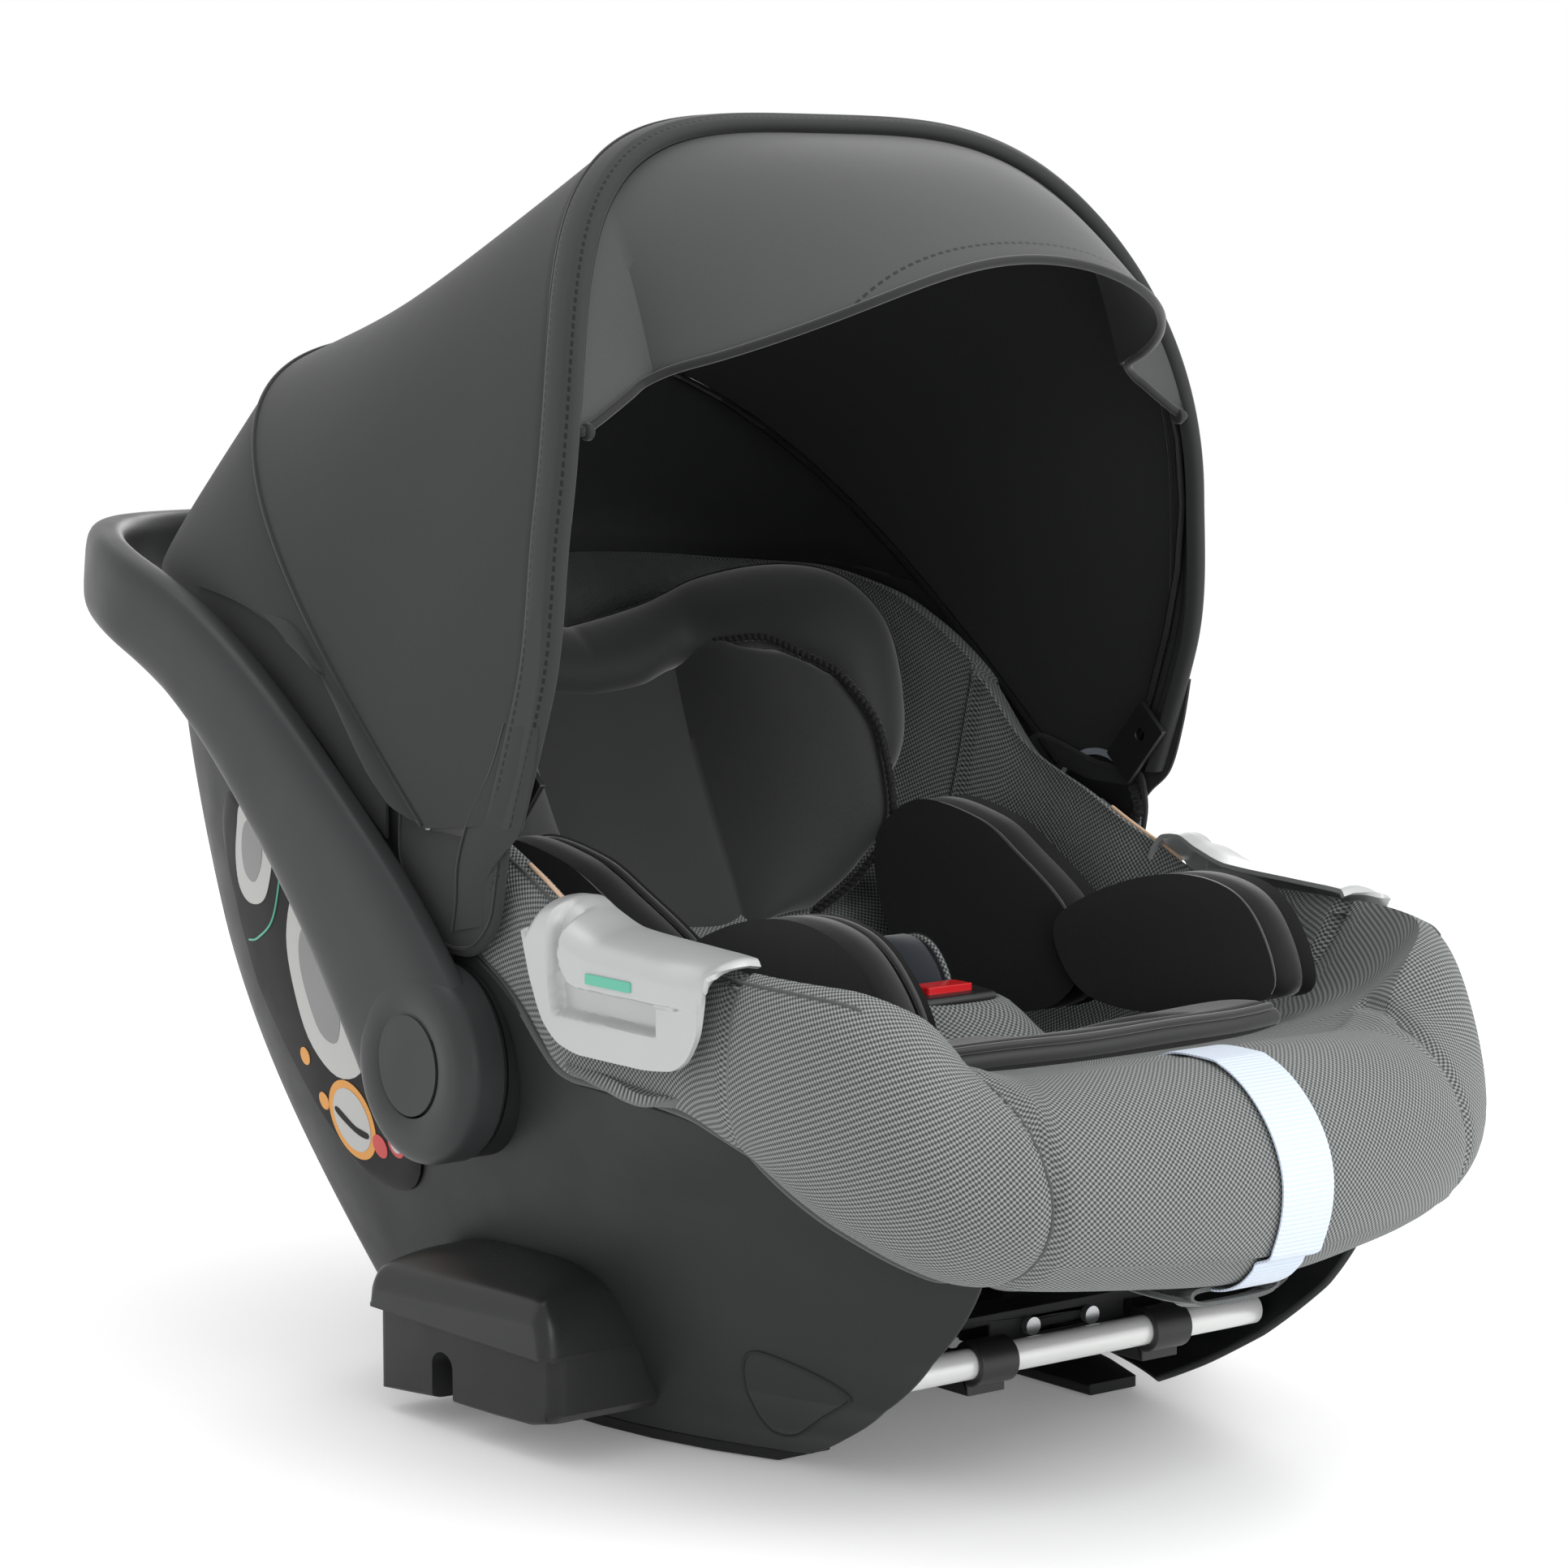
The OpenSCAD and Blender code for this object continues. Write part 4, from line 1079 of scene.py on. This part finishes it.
rear = []
for a in even_rows(lambda v: (tail(v) + rear_arch(v)) / 2, ARCH_ROWS, 0.09):
    p, q = tail(a), rear_arch(a)
    r = p + V(0, 0, tail_rise(p[1]))
    low = step(abs(p[0]), 110, 180) * (1 - step(p[1], 100, 170))
    skirt = V(math.copysign(mix(abs(p[0]), max(abs(p[0]), 198.4), low), p[0]), p[1], p[2])
    row = [skirt - V(0, 0, 18 * low + 0.5), skirt, mix(mix(p, skirt, 0.6), r, 0.5)]
    for t in np.linspace(0, 0.99, 26):
        s = mix(r, q, t)
        out = unit(s - CANOPY_CENTRE)
        puff = V(5.0 * clamp(s[0] / 60, -1, 1) * step(abs(s[0]), 90, 170) * sind(180 * t) ** 0.6, 0, 0)
        row.append(s + puff + out * ripple(s, a, 0.7) * math.sin(math.pi * t) ** 0.7)
    rear.append(row)
rear = np.array(rear)
rear_panel = sheet("rear_panel", rear, 1.6, two_sided=True)
place(rear_panel, "seat", "canopy lining", "canopy_rear_panel", slot="canopy_rear_panel")

piping = tube("rear_piping", [rear_arch(a) + unit(rear_arch(a) - CANOPY_CENTRE) * 0.5
                              for a in even_rows(rear_arch, 220, 0.085)], 1.1, 8)
place(piping, "seat", "piping", slot="canopy_main_panel")
trim("front_piping", [arch(a, -0.6, BAND_W) * V(0.988, 1, 1) for a in even_rows(lambda v: arch(v, 0, BAND_W),
        260, 0.085)], 1.3, "piping", "canopy_front_band", body="front_bow")

# Fabric band over the front bow: out over the bow, round the edge and folded in
ARM_INSIDE = HANDLE_HALF - HANDLE_T - 1.1
band = []
for a in even_rows(lambda v: arch(v, 0, BAND_W), 220, 0.08):
    section = [(0.4, BAND_W - 0.5), (-0.8, BAND_W - 3), (-1.6, BAND_W * 0.72), (-1.9, BAND_W * 0.5),
               (-1.6, BAND_W * 0.28),
               (-0.6, 5), (0.4, 2.4), (1.8, 0.7), (3.6, 0), (5.4, 0.6), (6.6, 2.2), (7.2, 5), (7.4, 8)]
    band.append(spline([arch(a, i, b) for i, b in section], 30))
band = np.array(band)
band[:, :, 0] = np.clip(band[:, :, 0], -ARM_INSIDE, ARM_INSIDE)
front_band = sheet("front_band", band, 1.6)
place(front_band, "front_bow", "band", "canopy_front_band", slot="canopy_front_band")

# Visor: sewn inside the band from cheek to cheek, taut to its wired lip
VISOR_FROM = 0.374
half = arch(even_angle(VISOR_FROM), 7.5, 3)[0] + 0.1


def visor_top(a):
    return arch(a, 7.5, 3)


vis = []
for a in even_rows(visor_top, 120, VISOR_FROM):
    p = visor_top(a)
    q = visor_lip(p[0], half) + V(0, 1.5, 1.5)
    d = np.linalg.norm(q - p)
    vis.append([mix(p, q, t) + V(0, 0, d * 0.07 * sind(180 * t)) for t in np.linspace(0, 1, 34)])
vis = np.array(vis)
visor = sheet("visor_cloth", vis, 1.4, two_sided=True)
# Outer face takes the lighter visor colour, which is painted light on its upward face.
visor.data.materials.append(M["visor"])
visor.data.materials.append(M["lining"])
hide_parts("visor_panel")
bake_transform(visor)
lip = [visor_lip(x, half) for x in half * np.sin(np.linspace(-math.pi / 2, math.pi / 2, 240)) * 0.9995]
lip = spline(np.array(lip)[::6].tolist() + [lip[-1]], 240)
piping = tube("visor_piping", lip, 2.2, 10)
ends = [lathe("visor_button", [(177.4, 0.6), (177.2, 2), (177.2, 3.4), (177.8, 4), (180, 4), (180.8, 3.4),
        (180.8, 0.6)],
              CHEEK[1:], s, 24) for s in (-1, 1)]
for ob in [piping] + ends:
    ob.data.materials.append(M["piping"])
edge = join("visor_lip", [piping] + ends)
place(edge, "visor", None, "visor_edge", slot="visor_edge")

# Round pocket of fabric over each hub, with its stitched hem


def pocket_tilt(z):
    return 2.5 * step(z, 262, 292)


for s, label in SIDES:
    outline = spline([(14, 300), (18, 272), (3, 244), (-16, 229), (-33, 225.5), (-50, 229), (-64, 242),
            (-69, 258), (-71, 274),
                      (-66, 288), (-36, 290)], 80, closed=True)
    centre = outline.mean(axis=0)
    rings = []
    for k, x in ((0.02, 199.8), (0.5, 199.8), (0.86, 199.6), (0.94, 199.2), (0.985, 198.4), (1.0, 197.4),
                 (0.99, 196.4), (0.95, 196.0),
                 (0.9, 197.3), (0.02, 197.3)):
        rings.append([[s * (x - pocket_tilt(q[1])), *q] for q in (centre + (p - centre) * k for p in outline)])
    pocket = loft("pocket_" + label, rings)
    place(pocket, "seat", "canopy", "canopy_pocket_" + label, slot="canopy_pocket")
    trim("pocket_hem_" + label, [[s * (199.5 - pocket_tilt(q[1])),
            *q] for q in (centre + (p - centre) * 0.9 for p in outline)], 0.7, "piping", "canopy_pocket",
            closed=True)
    # End of the band, drawn back over the pocket to the hub
    fold = spline([(-74, 336), (-63, 314), (-46, 292), (-36, 270), (-34, 251), (-31, 237)], 46)
    edge = spline([(-99, 336), (-94, 313), (-85, 289), (-70, 276), (-58, 262), (-55, 242)], 46)
    g = np.array([[(s * (199.7 + 0.8 * sind(180 * t)), *mix(p, q, t)) for t in np.linspace(0, 1, 16)] for p,
                  q in zip(fold, edge)])
    g = g[:, ::-1] if s > 0 else g
    tip = sheet("band_tip_" + label, g, 1.2, two_sided=True)
    place(tip, "front_bow", "canopy lining", slot="canopy_front_band")
    trim("band_crease_" + label, [(s * 199.9, *p) for p in fold], 0.8, "piping", "canopy_front_band",
         body="front_bow")
    line = spline([(s * 196, -62, 279), (s * 196.5, -66, 268), (s * 196, -60, 258), (s * 195, -56, 248)], 60)
    radii = [3.0 + 0.5 * math.sin(i * 0.9) + 0.4 * math.sin(i * 2.3) for i in range(60)]
    trim("gathered_edge_" + label, line, radii, "elastic", "canopy_pocket", sides=12)

# ---------------------------------------------------------------------------------------------
# Seat cover: padded nose, side rails and bowl in one piece


def cover_rows(count):
    """Row positions spread evenly round the cover."""
    w = np.linspace(0, 1, 2001)
    p = np.array([bulge_xy(v) for v in w])
    s = lengths(p)
    return [float(np.interp(v, s, w)) for v in np.linspace(0, s[-1], count + 1)], s[-1]


def cover_section(w):
    h, e, c, s = hem_xy(w), bulge_xy(w), crest_xy(w), slot_xy(w)
    z0, z2 = hem_z(w), crest_z(w)
    z1 = mix(z0, z2, 0.5)
    pts = [V(*mix(h, e, sind(a)), mix(z1, z0, cosd(a))) for a in np.linspace(0, 90, 15)[:-1]]
    pts += [V(*mix(e, c, 1 - cosd(a)), mix(z1, z2, sind(a))) for a in np.linspace(0, 90, 19)]
    for t in np.linspace(0, 1, 34)[1:] ** 1.5:
        p = mix(c, s, t)
        pts.append(V(*p, mix(seat_z(p[1]), z2, (1 - t) ** 6)))
    for t in (0.25, 0.5, 0.75, 1):
        pts.append(V(s[0] * (1 - t), s[1], seat_z(s[1])))
    return pts


WS, GIRTH = cover_rows(330)
right = np.array([cover_section(w) for w in WS])


def row_share(w):
    """Share of the cover's rows that lie before w."""
    return float(np.interp(w, WS, np.linspace(0, 1, len(WS))))


NOSE_SEAM = 123  # half width between the seams of the nose


def dent(d, width, depth):
    return -depth * math.exp(-(d / width) ** 2)


def cover_detail(g):
    """Seams, pillow of the nose and slack worked into the outer surface, outwards along its normal."""
    n = grid_normals(g)
    if n[len(WS) // 2, 14][0] < 0:
        n = -n
    corner = GIRTH * row_share(NOSE)
    out = g.copy()
    for i, w in enumerate(WS):
        s = GIRTH * i / (len(WS) - 1)
        for j in range(g.shape[1]):
            p = g[i, j]
            e = 0.0
            if j < 40 and p[1] < -250:
                e += dent(abs(p[0]) - NOSE_SEAM, 3.4, 3.6)
            if j < 40:
                e += dent(s - corner, 3.2, 1.4)
            if w > NOSE:
                e += dent(j - 33, 1.2, 1.2)
            if w < 0.2 and 8 < j < 40:
                e += 4.6 * math.sqrt(max(0.0, math.cos(math.pi / 2 * min(1, abs(p[0]) / NOSE_SEAM))))
            if j < 44:
                e += 0.8 * math.sin(0.03 * s + 0.31 * j) * math.sin(0.021 * s - 0.17 * j + 1.0)
            if j < 5:
                e -= (5 - j) * 0.35
            out[i, j] = p + n[i, j] * e
    out[:, -1, 0] = 0
    out[0, :, 0] = 0
    out[-1, :, 0] = 0
    return out


def mirrored(g):
    return np.concatenate([g, g[-2:0:-1] * V(-1, 1, 1)])


right = cover_detail(right)
whole = mirrored(right)


def crossing(half_width, j):
    """Point of column j of the nose at a distance from the middle."""
    x = right[:, j, 0]
    for i in range(len(x) - 1):
        if abs(x[i]) <= half_width < abs(x[i + 1]):
            return mix(right[i, j], right[i + 1, j], (half_width - abs(x[i])) / (abs(x[i + 1]) - abs(x[i])))
    return right[-1, j]


def on_side(points, side):
    return [p * V(side * math.copysign(1, p[0]), 1, 1) for p in points]


for side, label in SIDES:
    line = [crossing(NOSE_SEAM, j) for j in range(1, 31)]
    line = spline(on_side(line, side), 120)
    trim("nose_seam_" + label, line, 0.7, "binding", "seat_cover", sides=6)
    last = int(len(WS) * row_share(0.5))
    first = int(len(WS) * row_share(0.235))
    line = [right[i, 27] for i in range(first, last)]
    line = spline(on_side(line[::3], side), 200)
    trim("rail_seam_" + label, line, 0.9, "binding", "seat_cover", sides=6)
    line = [p + V(0, 0, 0.8) for p in right[:, 30] if -112 < p[1] < -60 and p[2] > 200]
    line = spline(on_side(line[::4], side), 60)
    trim("edge_trim_" + label, line, 1.0, "cord_trim", "seat_cover")
    line = spline(on_side(right[4::4, 0], side), 420)
    trim("hem_" + label, line, 2.0, "binding", "seat_cover")
uv = grid_uv(right)
for j in range(uv.shape[1]):
    uv[:, j, 0] = np.linspace(0, GIRTH, len(WS))
uv = np.concatenate([uv, uv[-2:0:-1] * V(-1, 1)])
n, m = whole.shape[:2]
faces = [(i * m + j, ((i + 1) % n) * m + j, ((i + 1) % n) * m + j + 1,
          i * m + j + 1) for i in range(n) for j in range(m - 1)]
cover = finish_mesh("cover", whole.reshape(-1, 3), faces, uv.reshape(-1, 2), None, 60)
bm = bmesh.new()
bm.from_mesh(cover.data)
bmesh.ops.remove_doubles(bm, verts=bm.verts, dist=0.00005)
bmesh.ops.recalc_face_normals(bm, faces=bm.faces)
bm.faces.ensure_lookup_table()
outward = sum((f.normal.z * f.calc_area() for f in bm.faces))
if outward < 0:
    bmesh.ops.reverse_faces(bm, faces=bm.faces)
bm.to_mesh(cover.data)
bm.free()
thick = cover.modifiers.new("padding", "SOLIDIFY")
thick.thickness = COVER_T * 0.001
thick.offset = -1
apply_modifiers(cover)
place(cover, "seat", "weave", "seat_cover", "cover_centre", slot="seat_cover")

# ---------------------------------------------------------------------------------------------
# Padded insert, head support and harness parts


def pillow(name, outline, x0, x1, edge, dome=0.0, side=1, lean=0.0, fore=0.0, count=96):
    """Stuffed pad with its outline in the side view: soft edges, domed faces, leaning outwards."""
    o = spline(outline, count, closed=True)
    c = o.mean(axis=0)
    zmin, ymin = o[:, 1].min(), o[:, 0].min()
    reach = np.linalg.norm(o - c, axis=1).mean()
    rings = []

    def ring(inset, x, lift):
        q = []
        for p in o:
            r = c + (p - c) * (1 - inset)
            q.append([side * (x + lift + lean * (r[1] - zmin) + fore * (r[0] - ymin)), r[0], r[1]])
        rings.append(q)

    f = edge / reach
    flat_rings = [k for k in (0.97, 0.8, 0.62, 0.46, 0.34, 0.24, 0.17) if k > f]
    for k in flat_rings:
        ring(k, x0, -dome * (1 - (1 - k) ** 3))
    for face, turn in ((-1, (90, 68, 46, 24, 0)), (1, (0, 24, 46, 68, 90))):
        for a in turn:
            inset = f * (1 - cosd(90 - a)) if a else 0.0
            x = x0 + edge * (1 - sind(a)) if face < 0 else x1 - edge * (1 - sind(a))
            ring(inset, x, face * dome * (1 - (1 - inset) ** 3) if a else 0)
    for k in flat_rings[::-1]:
        ring(k, x1, dome * (1 - (1 - k) ** 3))
    ob = loft(name, rings, sharp=70)
    seam = np.array([[side * (x0 + edge * 0.3 + lean * (p[1] - zmin) + fore * (p[0] - ymin)), p[0],
            p[1]] for p in c + (o - c) * (1 - f * 0.3)])
    return ob, seam


HIP = [(-112, 206), (-108, 226), (-148, 246), (-192, 255), (-228, 250), (-250, 232), (-260, 208),
       (-236, 199), (-180, 188), (-136, 190)]
FLANK = [(-122, 204), (-106, 229), (-66, 252), (-34, 266), (14, 271), (42, 250), (32, 216), (0, 186),
         (-60, 174), (-108, 182)]
for s, label in SIDES:
    for part, outline, x0, lean in (("hip_wing", HIP, 99, 0.12), ("side_wing", FLANK, 100, 0.16)):
        ob, seam = pillow(part + "_cloth_" + label, outline, x0, x0 + 27, 9, 3, s, lean)
        place(ob, "seat", "jersey", part + "_" + label, slot=part)
        trim(part + "_piping_" + label, seam, 1.5, "jersey_satin", part, closed=True)

# Seat pad of the insert: it dips under the cover in the middle, where the crotch strap comes through


def insert_at(x, y):
    hole = step(y, -262, -248) * (1 - step(y, -150, -128)) * (1 - step(abs(x), 40, 56))
    lift = 13 + 1.5 * math.sin(x * 0.05) * math.sin(y * 0.06)
    return mix(seat_z(y) + lift, seat_z(y) - 5, hole)


XS = np.linspace(-104, 104, 84)
YS = np.linspace(0, 1, 110)
front_line = [-276 + 14 * (abs(x) / 104) ** 2.4 for x in XS]
top, under = [], []
for x, y0 in zip(XS, front_line):
    a, b = [], []
    for t in YS:
        y = mix(y0, 10, t)
        r = min(1.0, (y - y0) / 8) ** 0.5
        side = min(1.0, (104 - abs(x)) / 7 + 0.05) ** 0.5
        z = insert_at(x, y)
        low = min(seat_z(y) - 1, z - 3)
        a.append((x, y, mix(low + 2, z, min(r, side))))
        b.append((x, y, low))
    top.append(a)
    under.append(b)
insert = slab("insert", top, under, sharp=70)
place(insert, "seat", "jersey", "insert_pad", slot="insert_pad")
lip_line = [(x, y0 + 1.5, insert_at(x, y0 + 8) - 1.5) for x, y0 in zip(XS, front_line)]
trim("insert_piping", spline(lip_line[2:-2:3], 120), 1.8, "jersey_satin", "insert_pad", sides=10)
trim("insert_lip", spline([(x, y + 2.5, z - 6) for x, y, z in lip_line[1:-1:3]], 120), 4.6, "jersey_satin",
     "insert_pad", sides=14)

# ---------------------------------------------------------------------------------------------
# Head support: a curved inner pad of back and two wings, with a thick roll round its outside

# Share of the height, middle of the back, crease and wing's edge
HEAD = [
    (0.0, (0, 66, 203), (42, 61, 203), (85, 66, 206)),
    (0.2, (0, 82, 228), (45, 77, 228), (106, 48, 230)),
    (0.45, (0, 108, 263), (50, 103, 263), (118, 36, 262)),
    (0.7, (0, 130, 299), (54, 126, 300), (117, 44, 300)),
    (0.9, (0, 144, 328), (57, 141, 330), (108, 68, 332)),
    (1.0, (0, 150, 342), (58, 147, 344), (86, 104, 350)),
]


def head_col(k, t):
    return V(*[look(t, [(r[0], r[k][c]) for r in HEAD]) for c in range(3)])


def head_at(s, t):
    """Point of the inner pad: s from -1 at one wing's edge to 1 at the other, t from bottom to top."""
    m, c, w = head_col(1, t), head_col(2, t), head_col(3, t)
    a = abs(s)
    if a < 0.4:
        k = a / 0.4
        p = V(c[0] * k, mix(m[1], c[1], k ** 2) - 7 * math.cos(math.pi / 2 * k ** 2), mix(m[2], c[2], k ** 2))
    else:
        k = (a - 0.4) / 0.6
        p = mix(c, w, k) + V(-5, -6, 2) * math.sin(math.pi * k) * 1.3
    return V(math.copysign(p[0], s) if a else 0, p[1], p[2])


head = np.array([[head_at(s, t) for t in np.linspace(0, 1, 46)] for s in np.linspace(-1, 1, 121)])
n = grid_normals(head)
if n[60, 20][1] > 0:
    n = -n
back_side = head - 17 * n
for i in range(len(head)):
    for j in range(head.shape[1]):
        e = min(i, len(head) - 1 - i) / 7
        f = min(j, head.shape[1] - 1 - j) / 5
        k = 1 - (1 - clamp(min(e, f), 0, 1)) ** 2
        mid = head[i, j] - 8.5 * n[i, j]
        head[i, j] = mix(mid, head[i, j], k ** 0.5)
        back_side[i, j] = mix(mid, back_side[i, j], k ** 0.5)
inner = slab("head_pad", head, back_side + n * 0.1, sharp=75, two_sided=True)
place(inner, "seat", "head mesh", "head_pillow", "head_wing_left", "head_wing_right", slot="head_pillow")

# Roll: inner and outer edge from the middle round to the lower end
ROLL = [((0, 132, 327), (0, 166, 352)), ((30, 132, 331), (45, 166, 361)), ((60, 134, 342), (86, 160, 375)),
        ((80, 112, 350), (116, 131, 383)), ((95, 90, 346), (133, 100, 380)), ((107, 73, 333), (145, 81, 361)),
        ((113, 58, 311), (151, 77, 335)), ((115, 49, 289), (151, 79, 305)), ((113, 50, 268), (141, 77, 276))]
a_line = spline([p[0] for p in ROLL], 70)
b_line = spline([p[1] for p in ROLL], 70)
a_line = np.concatenate([a_line[:0:-1] * V(-1, 1, 1), a_line])
b_line = np.concatenate([b_line[:0:-1] * V(-1, 1, 1), b_line])
rings, satin = [], []
for i in range(len(a_line)):
    a, b = a_line[i], b_line[i]
    along = unit(a_line[min(i + 1, len(a_line) - 1)] - a_line[max(i - 1, 0)])
    major = (b - a) / 2
    face = unit(np.cross(along, major))
    if face[1] > 0:
        face = -face
    e = min(i, len(a_line) - 1 - i) / 9
    k = math.sqrt(1 - (1 - clamp(e, 0, 1)) ** 2) if e < 1 else 1.0
    k = max(k, 0.06)
    c = (a + b) / 2 - face * 3

    def roll_at(q):
        return c + k * (major * 1.04 * soft(cosd(q), 2.3) + face * 15 * soft(sind(q), 2.2))

    rings.append([roll_at(q) for q in np.arange(28) * 360 / 28])
    satin.append(roll_at(38))
roll = loft("head_roll", rings, sharp=75)
place(roll, "seat", "head_roll", "head_bolster", slot="head_bolster")
trim("head_roll_seam", satin, 0.9, "rope", "head_bolster")


def rope(name, line, r, pitch=7.0):
    """Two strands twisted round a line."""
    line = np.array(line)
    s = lengths(line)
    frames = tube_rings(line, 1.0, 4)
    parts = []
    for phase in (0, 180):
        pts = []
        for i, c in enumerate(line):
            a, b = frames[i][0] - c, frames[i][1] - c
            q = 360 * s[i] / pitch + phase
            pts.append(c + r * 0.6 * (a * cosd(q) + b * sind(q)))
        ob = tube(name + "_strand", pts, r * 0.75, 6)
        ob.data.materials.append(M["rope"])
        parts.append(ob)
    return join(name, parts)


for s, label in SIDES:
    edge_line = [V(s * p[0], p[1], p[2]) for p in [head_col(3, t) for t in np.linspace(0.0, 1.0, 24)]]
    edge_line = [V(s * 70, 67, 204)] + edge_line + [V(s * 70, 126, 347)]
    place(rope("wing_rope_" + label, spline(edge_line, 420), 1.9), "seat", None, slot="head_wing")

# ---------------------------------------------------------------------------------------------
# Crotch pad, harness adjuster strap and its loop

crotch, seam = pillow("crotch", [(-128, 178), (-127, 204), (-114, 221), (-97, 224), (-85, 215), (-94, 202),
        (-106, 178)], -20, 20, 7, 1, 1)
place(crotch, "seat", "crotch", "crotch_pad", slot="crotch_pad")
for x in (-20.5, 20.5):
    line = [(x * 0.93, p[1], p[2]) for p in seam]
    trim("crotch_edge_l" if x < 0 else "crotch_edge_r", line, 1.7, "weave", "crotch_pad", closed=True)

# Cover drawn up round the buckle in a soft mound, longer towards the nose
lo, hi = box("buckle_body")
mid, top_z = (lo + hi) / 2, box("buckle_button")[0][2] + 1.0
rings = []
for k, fall in ((1.0, 1.1), (0.86, 0.97), (0.7, 0.78), (0.52, 0.5), (0.34, 0.22), (0.2, 0.06), (0.1, 0.0),
                (0.04, 0.02), (0.0, 0.12), (0.0, 0.6)):
    ring = []
    for a in np.linspace(0, 360, 72, endpoint=False):
        hx = hi[0] - mid[0] + 2.5 + 30 * k
        hy = (hi[1] - lo[1]) / 2 + 2.5 + (46 if sind(a) < 0 else 14) * k
        y = mid[1] + hy * soft(sind(a), 3)
        x = mid[0] + hx * soft(cosd(a), 3)
        ring.append((x, y, mix(top_z, seat_z(y) + 3, fall)))
    rings.append(ring)
mound = loft("buckle_mound", rings, sharp=70, cap=False)
place(mound, "seat", "weave", slot="seat_cover")

STRAP_HALF = box("adjuster_strap")[1][0]
profile = right[0, 1:31, 1:]
away = np.array([unit(V(-(q - p)[1], (q - p)[0])) for p, q in zip(profile[:-1], profile[1:])])
away = away * np.sign(((profile[:-1] - profile.mean(axis=0)) * away).sum(axis=1))[:, None]
strap_path = list(profile[:-1] + away * 1.9) + [V(-322, 200.2), V(-312, 198.5), V(-303, 194), V(-300, 188)]
strap_path = spline(strap_path, 150)
centre = profile.mean(axis=0)
top, under = [], []
for x in np.linspace(-STRAP_HALF, STRAP_HALF, 17):
    half_t = 0.75 - 0.25 * (abs(x) > 0.95 * STRAP_HALF)
    top.append([(x, *(p + unit(p - centre) * half_t)) for p in strap_path])
    under.append([(x, *(p - unit(p - centre) * half_t)) for p in strap_path])
strap = slab("strap", top, under, sharp=60)
place(strap, "seat", "strap", "adjuster_strap", slot="adjuster_strap")

loop_y, loop_z = strap_path[0] + V(2, -1)
ring = []
for x, z in spline([(-27, 1), (-20, -3.5), (0, -4.6), (20, -3.5), (27, 1), (22, 4.6), (0, 3.4), (-22, 4.6)],
        90, closed=True):
    ring.append((x, loop_y + 3, loop_z - 3 + z))
inner_ring = [(p[0] * 0.93, p[1], loop_z - 3 + (p[2] - loop_z + 3) * 0.55) for p in ring]
loop = loft("strap_loop_web", [[(p[0], p[1] + d, p[2] - d * 0.2) for p in r] for r,
        d in ((ring, -6), (ring, 6), (inner_ring, 6), (inner_ring, -6))], closed=True)
place(loop, "seat", "loop", "strap_loop", slot="strap_loop")
for s in (-1, 1):
    tail_line = spline([(s * 25, loop_y + 2, loop_z - 3), (s * 34, loop_y + 6, loop_z - 1),
            (s * 44, loop_y + 16, loop_z + 3), (s * 50, loop_y + 30, loop_z + 8)], 24)
    trim("loop_tail_l" if s < 0 else "loop_tail_r", tail_line, 5, "loop", "strap_loop", sides=12, flat=0.22,
         up=V(0, 0, 1))

# ---------------------------------------------------------------------------------------------
# Stage

floor_me = bpy.data.meshes.new("floor")
R, Z = 6.0, -0.0006
floor_me.from_pydata([(-R, -R, Z), (R, -R, Z), (R, R, Z), (-R, R, Z)], [], [(0, 1, 2, 3)])
floor = bpy.data.objects.new("floor", floor_me)
bpy.context.scene.collection.objects.link(floor)
fn = Nodes("floor_paint")
paint = fn.done(fn.blend(fn.noise(3, 2), (0.90, 0.90, 0.90), (0.93, 0.93, 0.93)), 0.6)
fn.put(fn.b.inputs["Emission Color"], (1, 1, 1))
fn.put(fn.b.inputs["Emission Strength"], 0.14)
floor_me.materials.append(paint)

world = bpy.data.worlds.new("world")
bpy.context.scene.world = world
world.use_nodes = True
world.node_tree.nodes["Background"].inputs[0].default_value = (1, 1, 1, 1)
world.node_tree.nodes["Background"].inputs[1].default_value = 1.0


def lamp(name, at, aim, energy, size, tall=None):
    data = bpy.data.lights.new(name, "AREA")
    data.energy = energy
    data.shape = "RECTANGLE"
    data.size, data.size_y = size, tall or size
    ob = bpy.data.objects.new(name, data)
    ob.location = at
    ob.rotation_mode = "QUATERNION"
    ob.rotation_quaternion = (Vector(aim) - Vector(at)).to_track_quat("-Z", "Y")
    bpy.context.scene.collection.objects.link(ob)


lamp("key", (0.8, -2.1, 1.9), (0, -0.1, 0.3), 26, 1.2)
lamp("front", (0.0, -2.9, 0.8), (0, 0, 0.3), 14, 1.0)
lamp("top", (-0.3, 0.5, 2.6), (0, 0, 0.4), 10, 1.6)
lamp("rim", (1.6, 1.6, 1.2), (0, 0, 0.4), 9, 1.0)

cam_data = bpy.data.cameras.new("camera")
cam_data.lens, cam_data.sensor_width = 102.48, 36
cam = bpy.data.objects.new("camera", cam_data)
az, el = math.radians(-38.14125), math.radians(6.52554)
back = Vector((math.sin(az) * math.cos(el), -math.cos(az) * math.cos(el), math.sin(el)))
cam.rotation_mode = "QUATERNION"
cam.rotation_quaternion = (-back).to_track_quat("-Z", "Y")
cam.location = (-1.33566, -1.72407, 0.53772)
bpy.context.scene.collection.objects.link(cam)
bpy.context.scene.camera = cam
bpy.context.scene.view_settings.view_transform = "Standard"
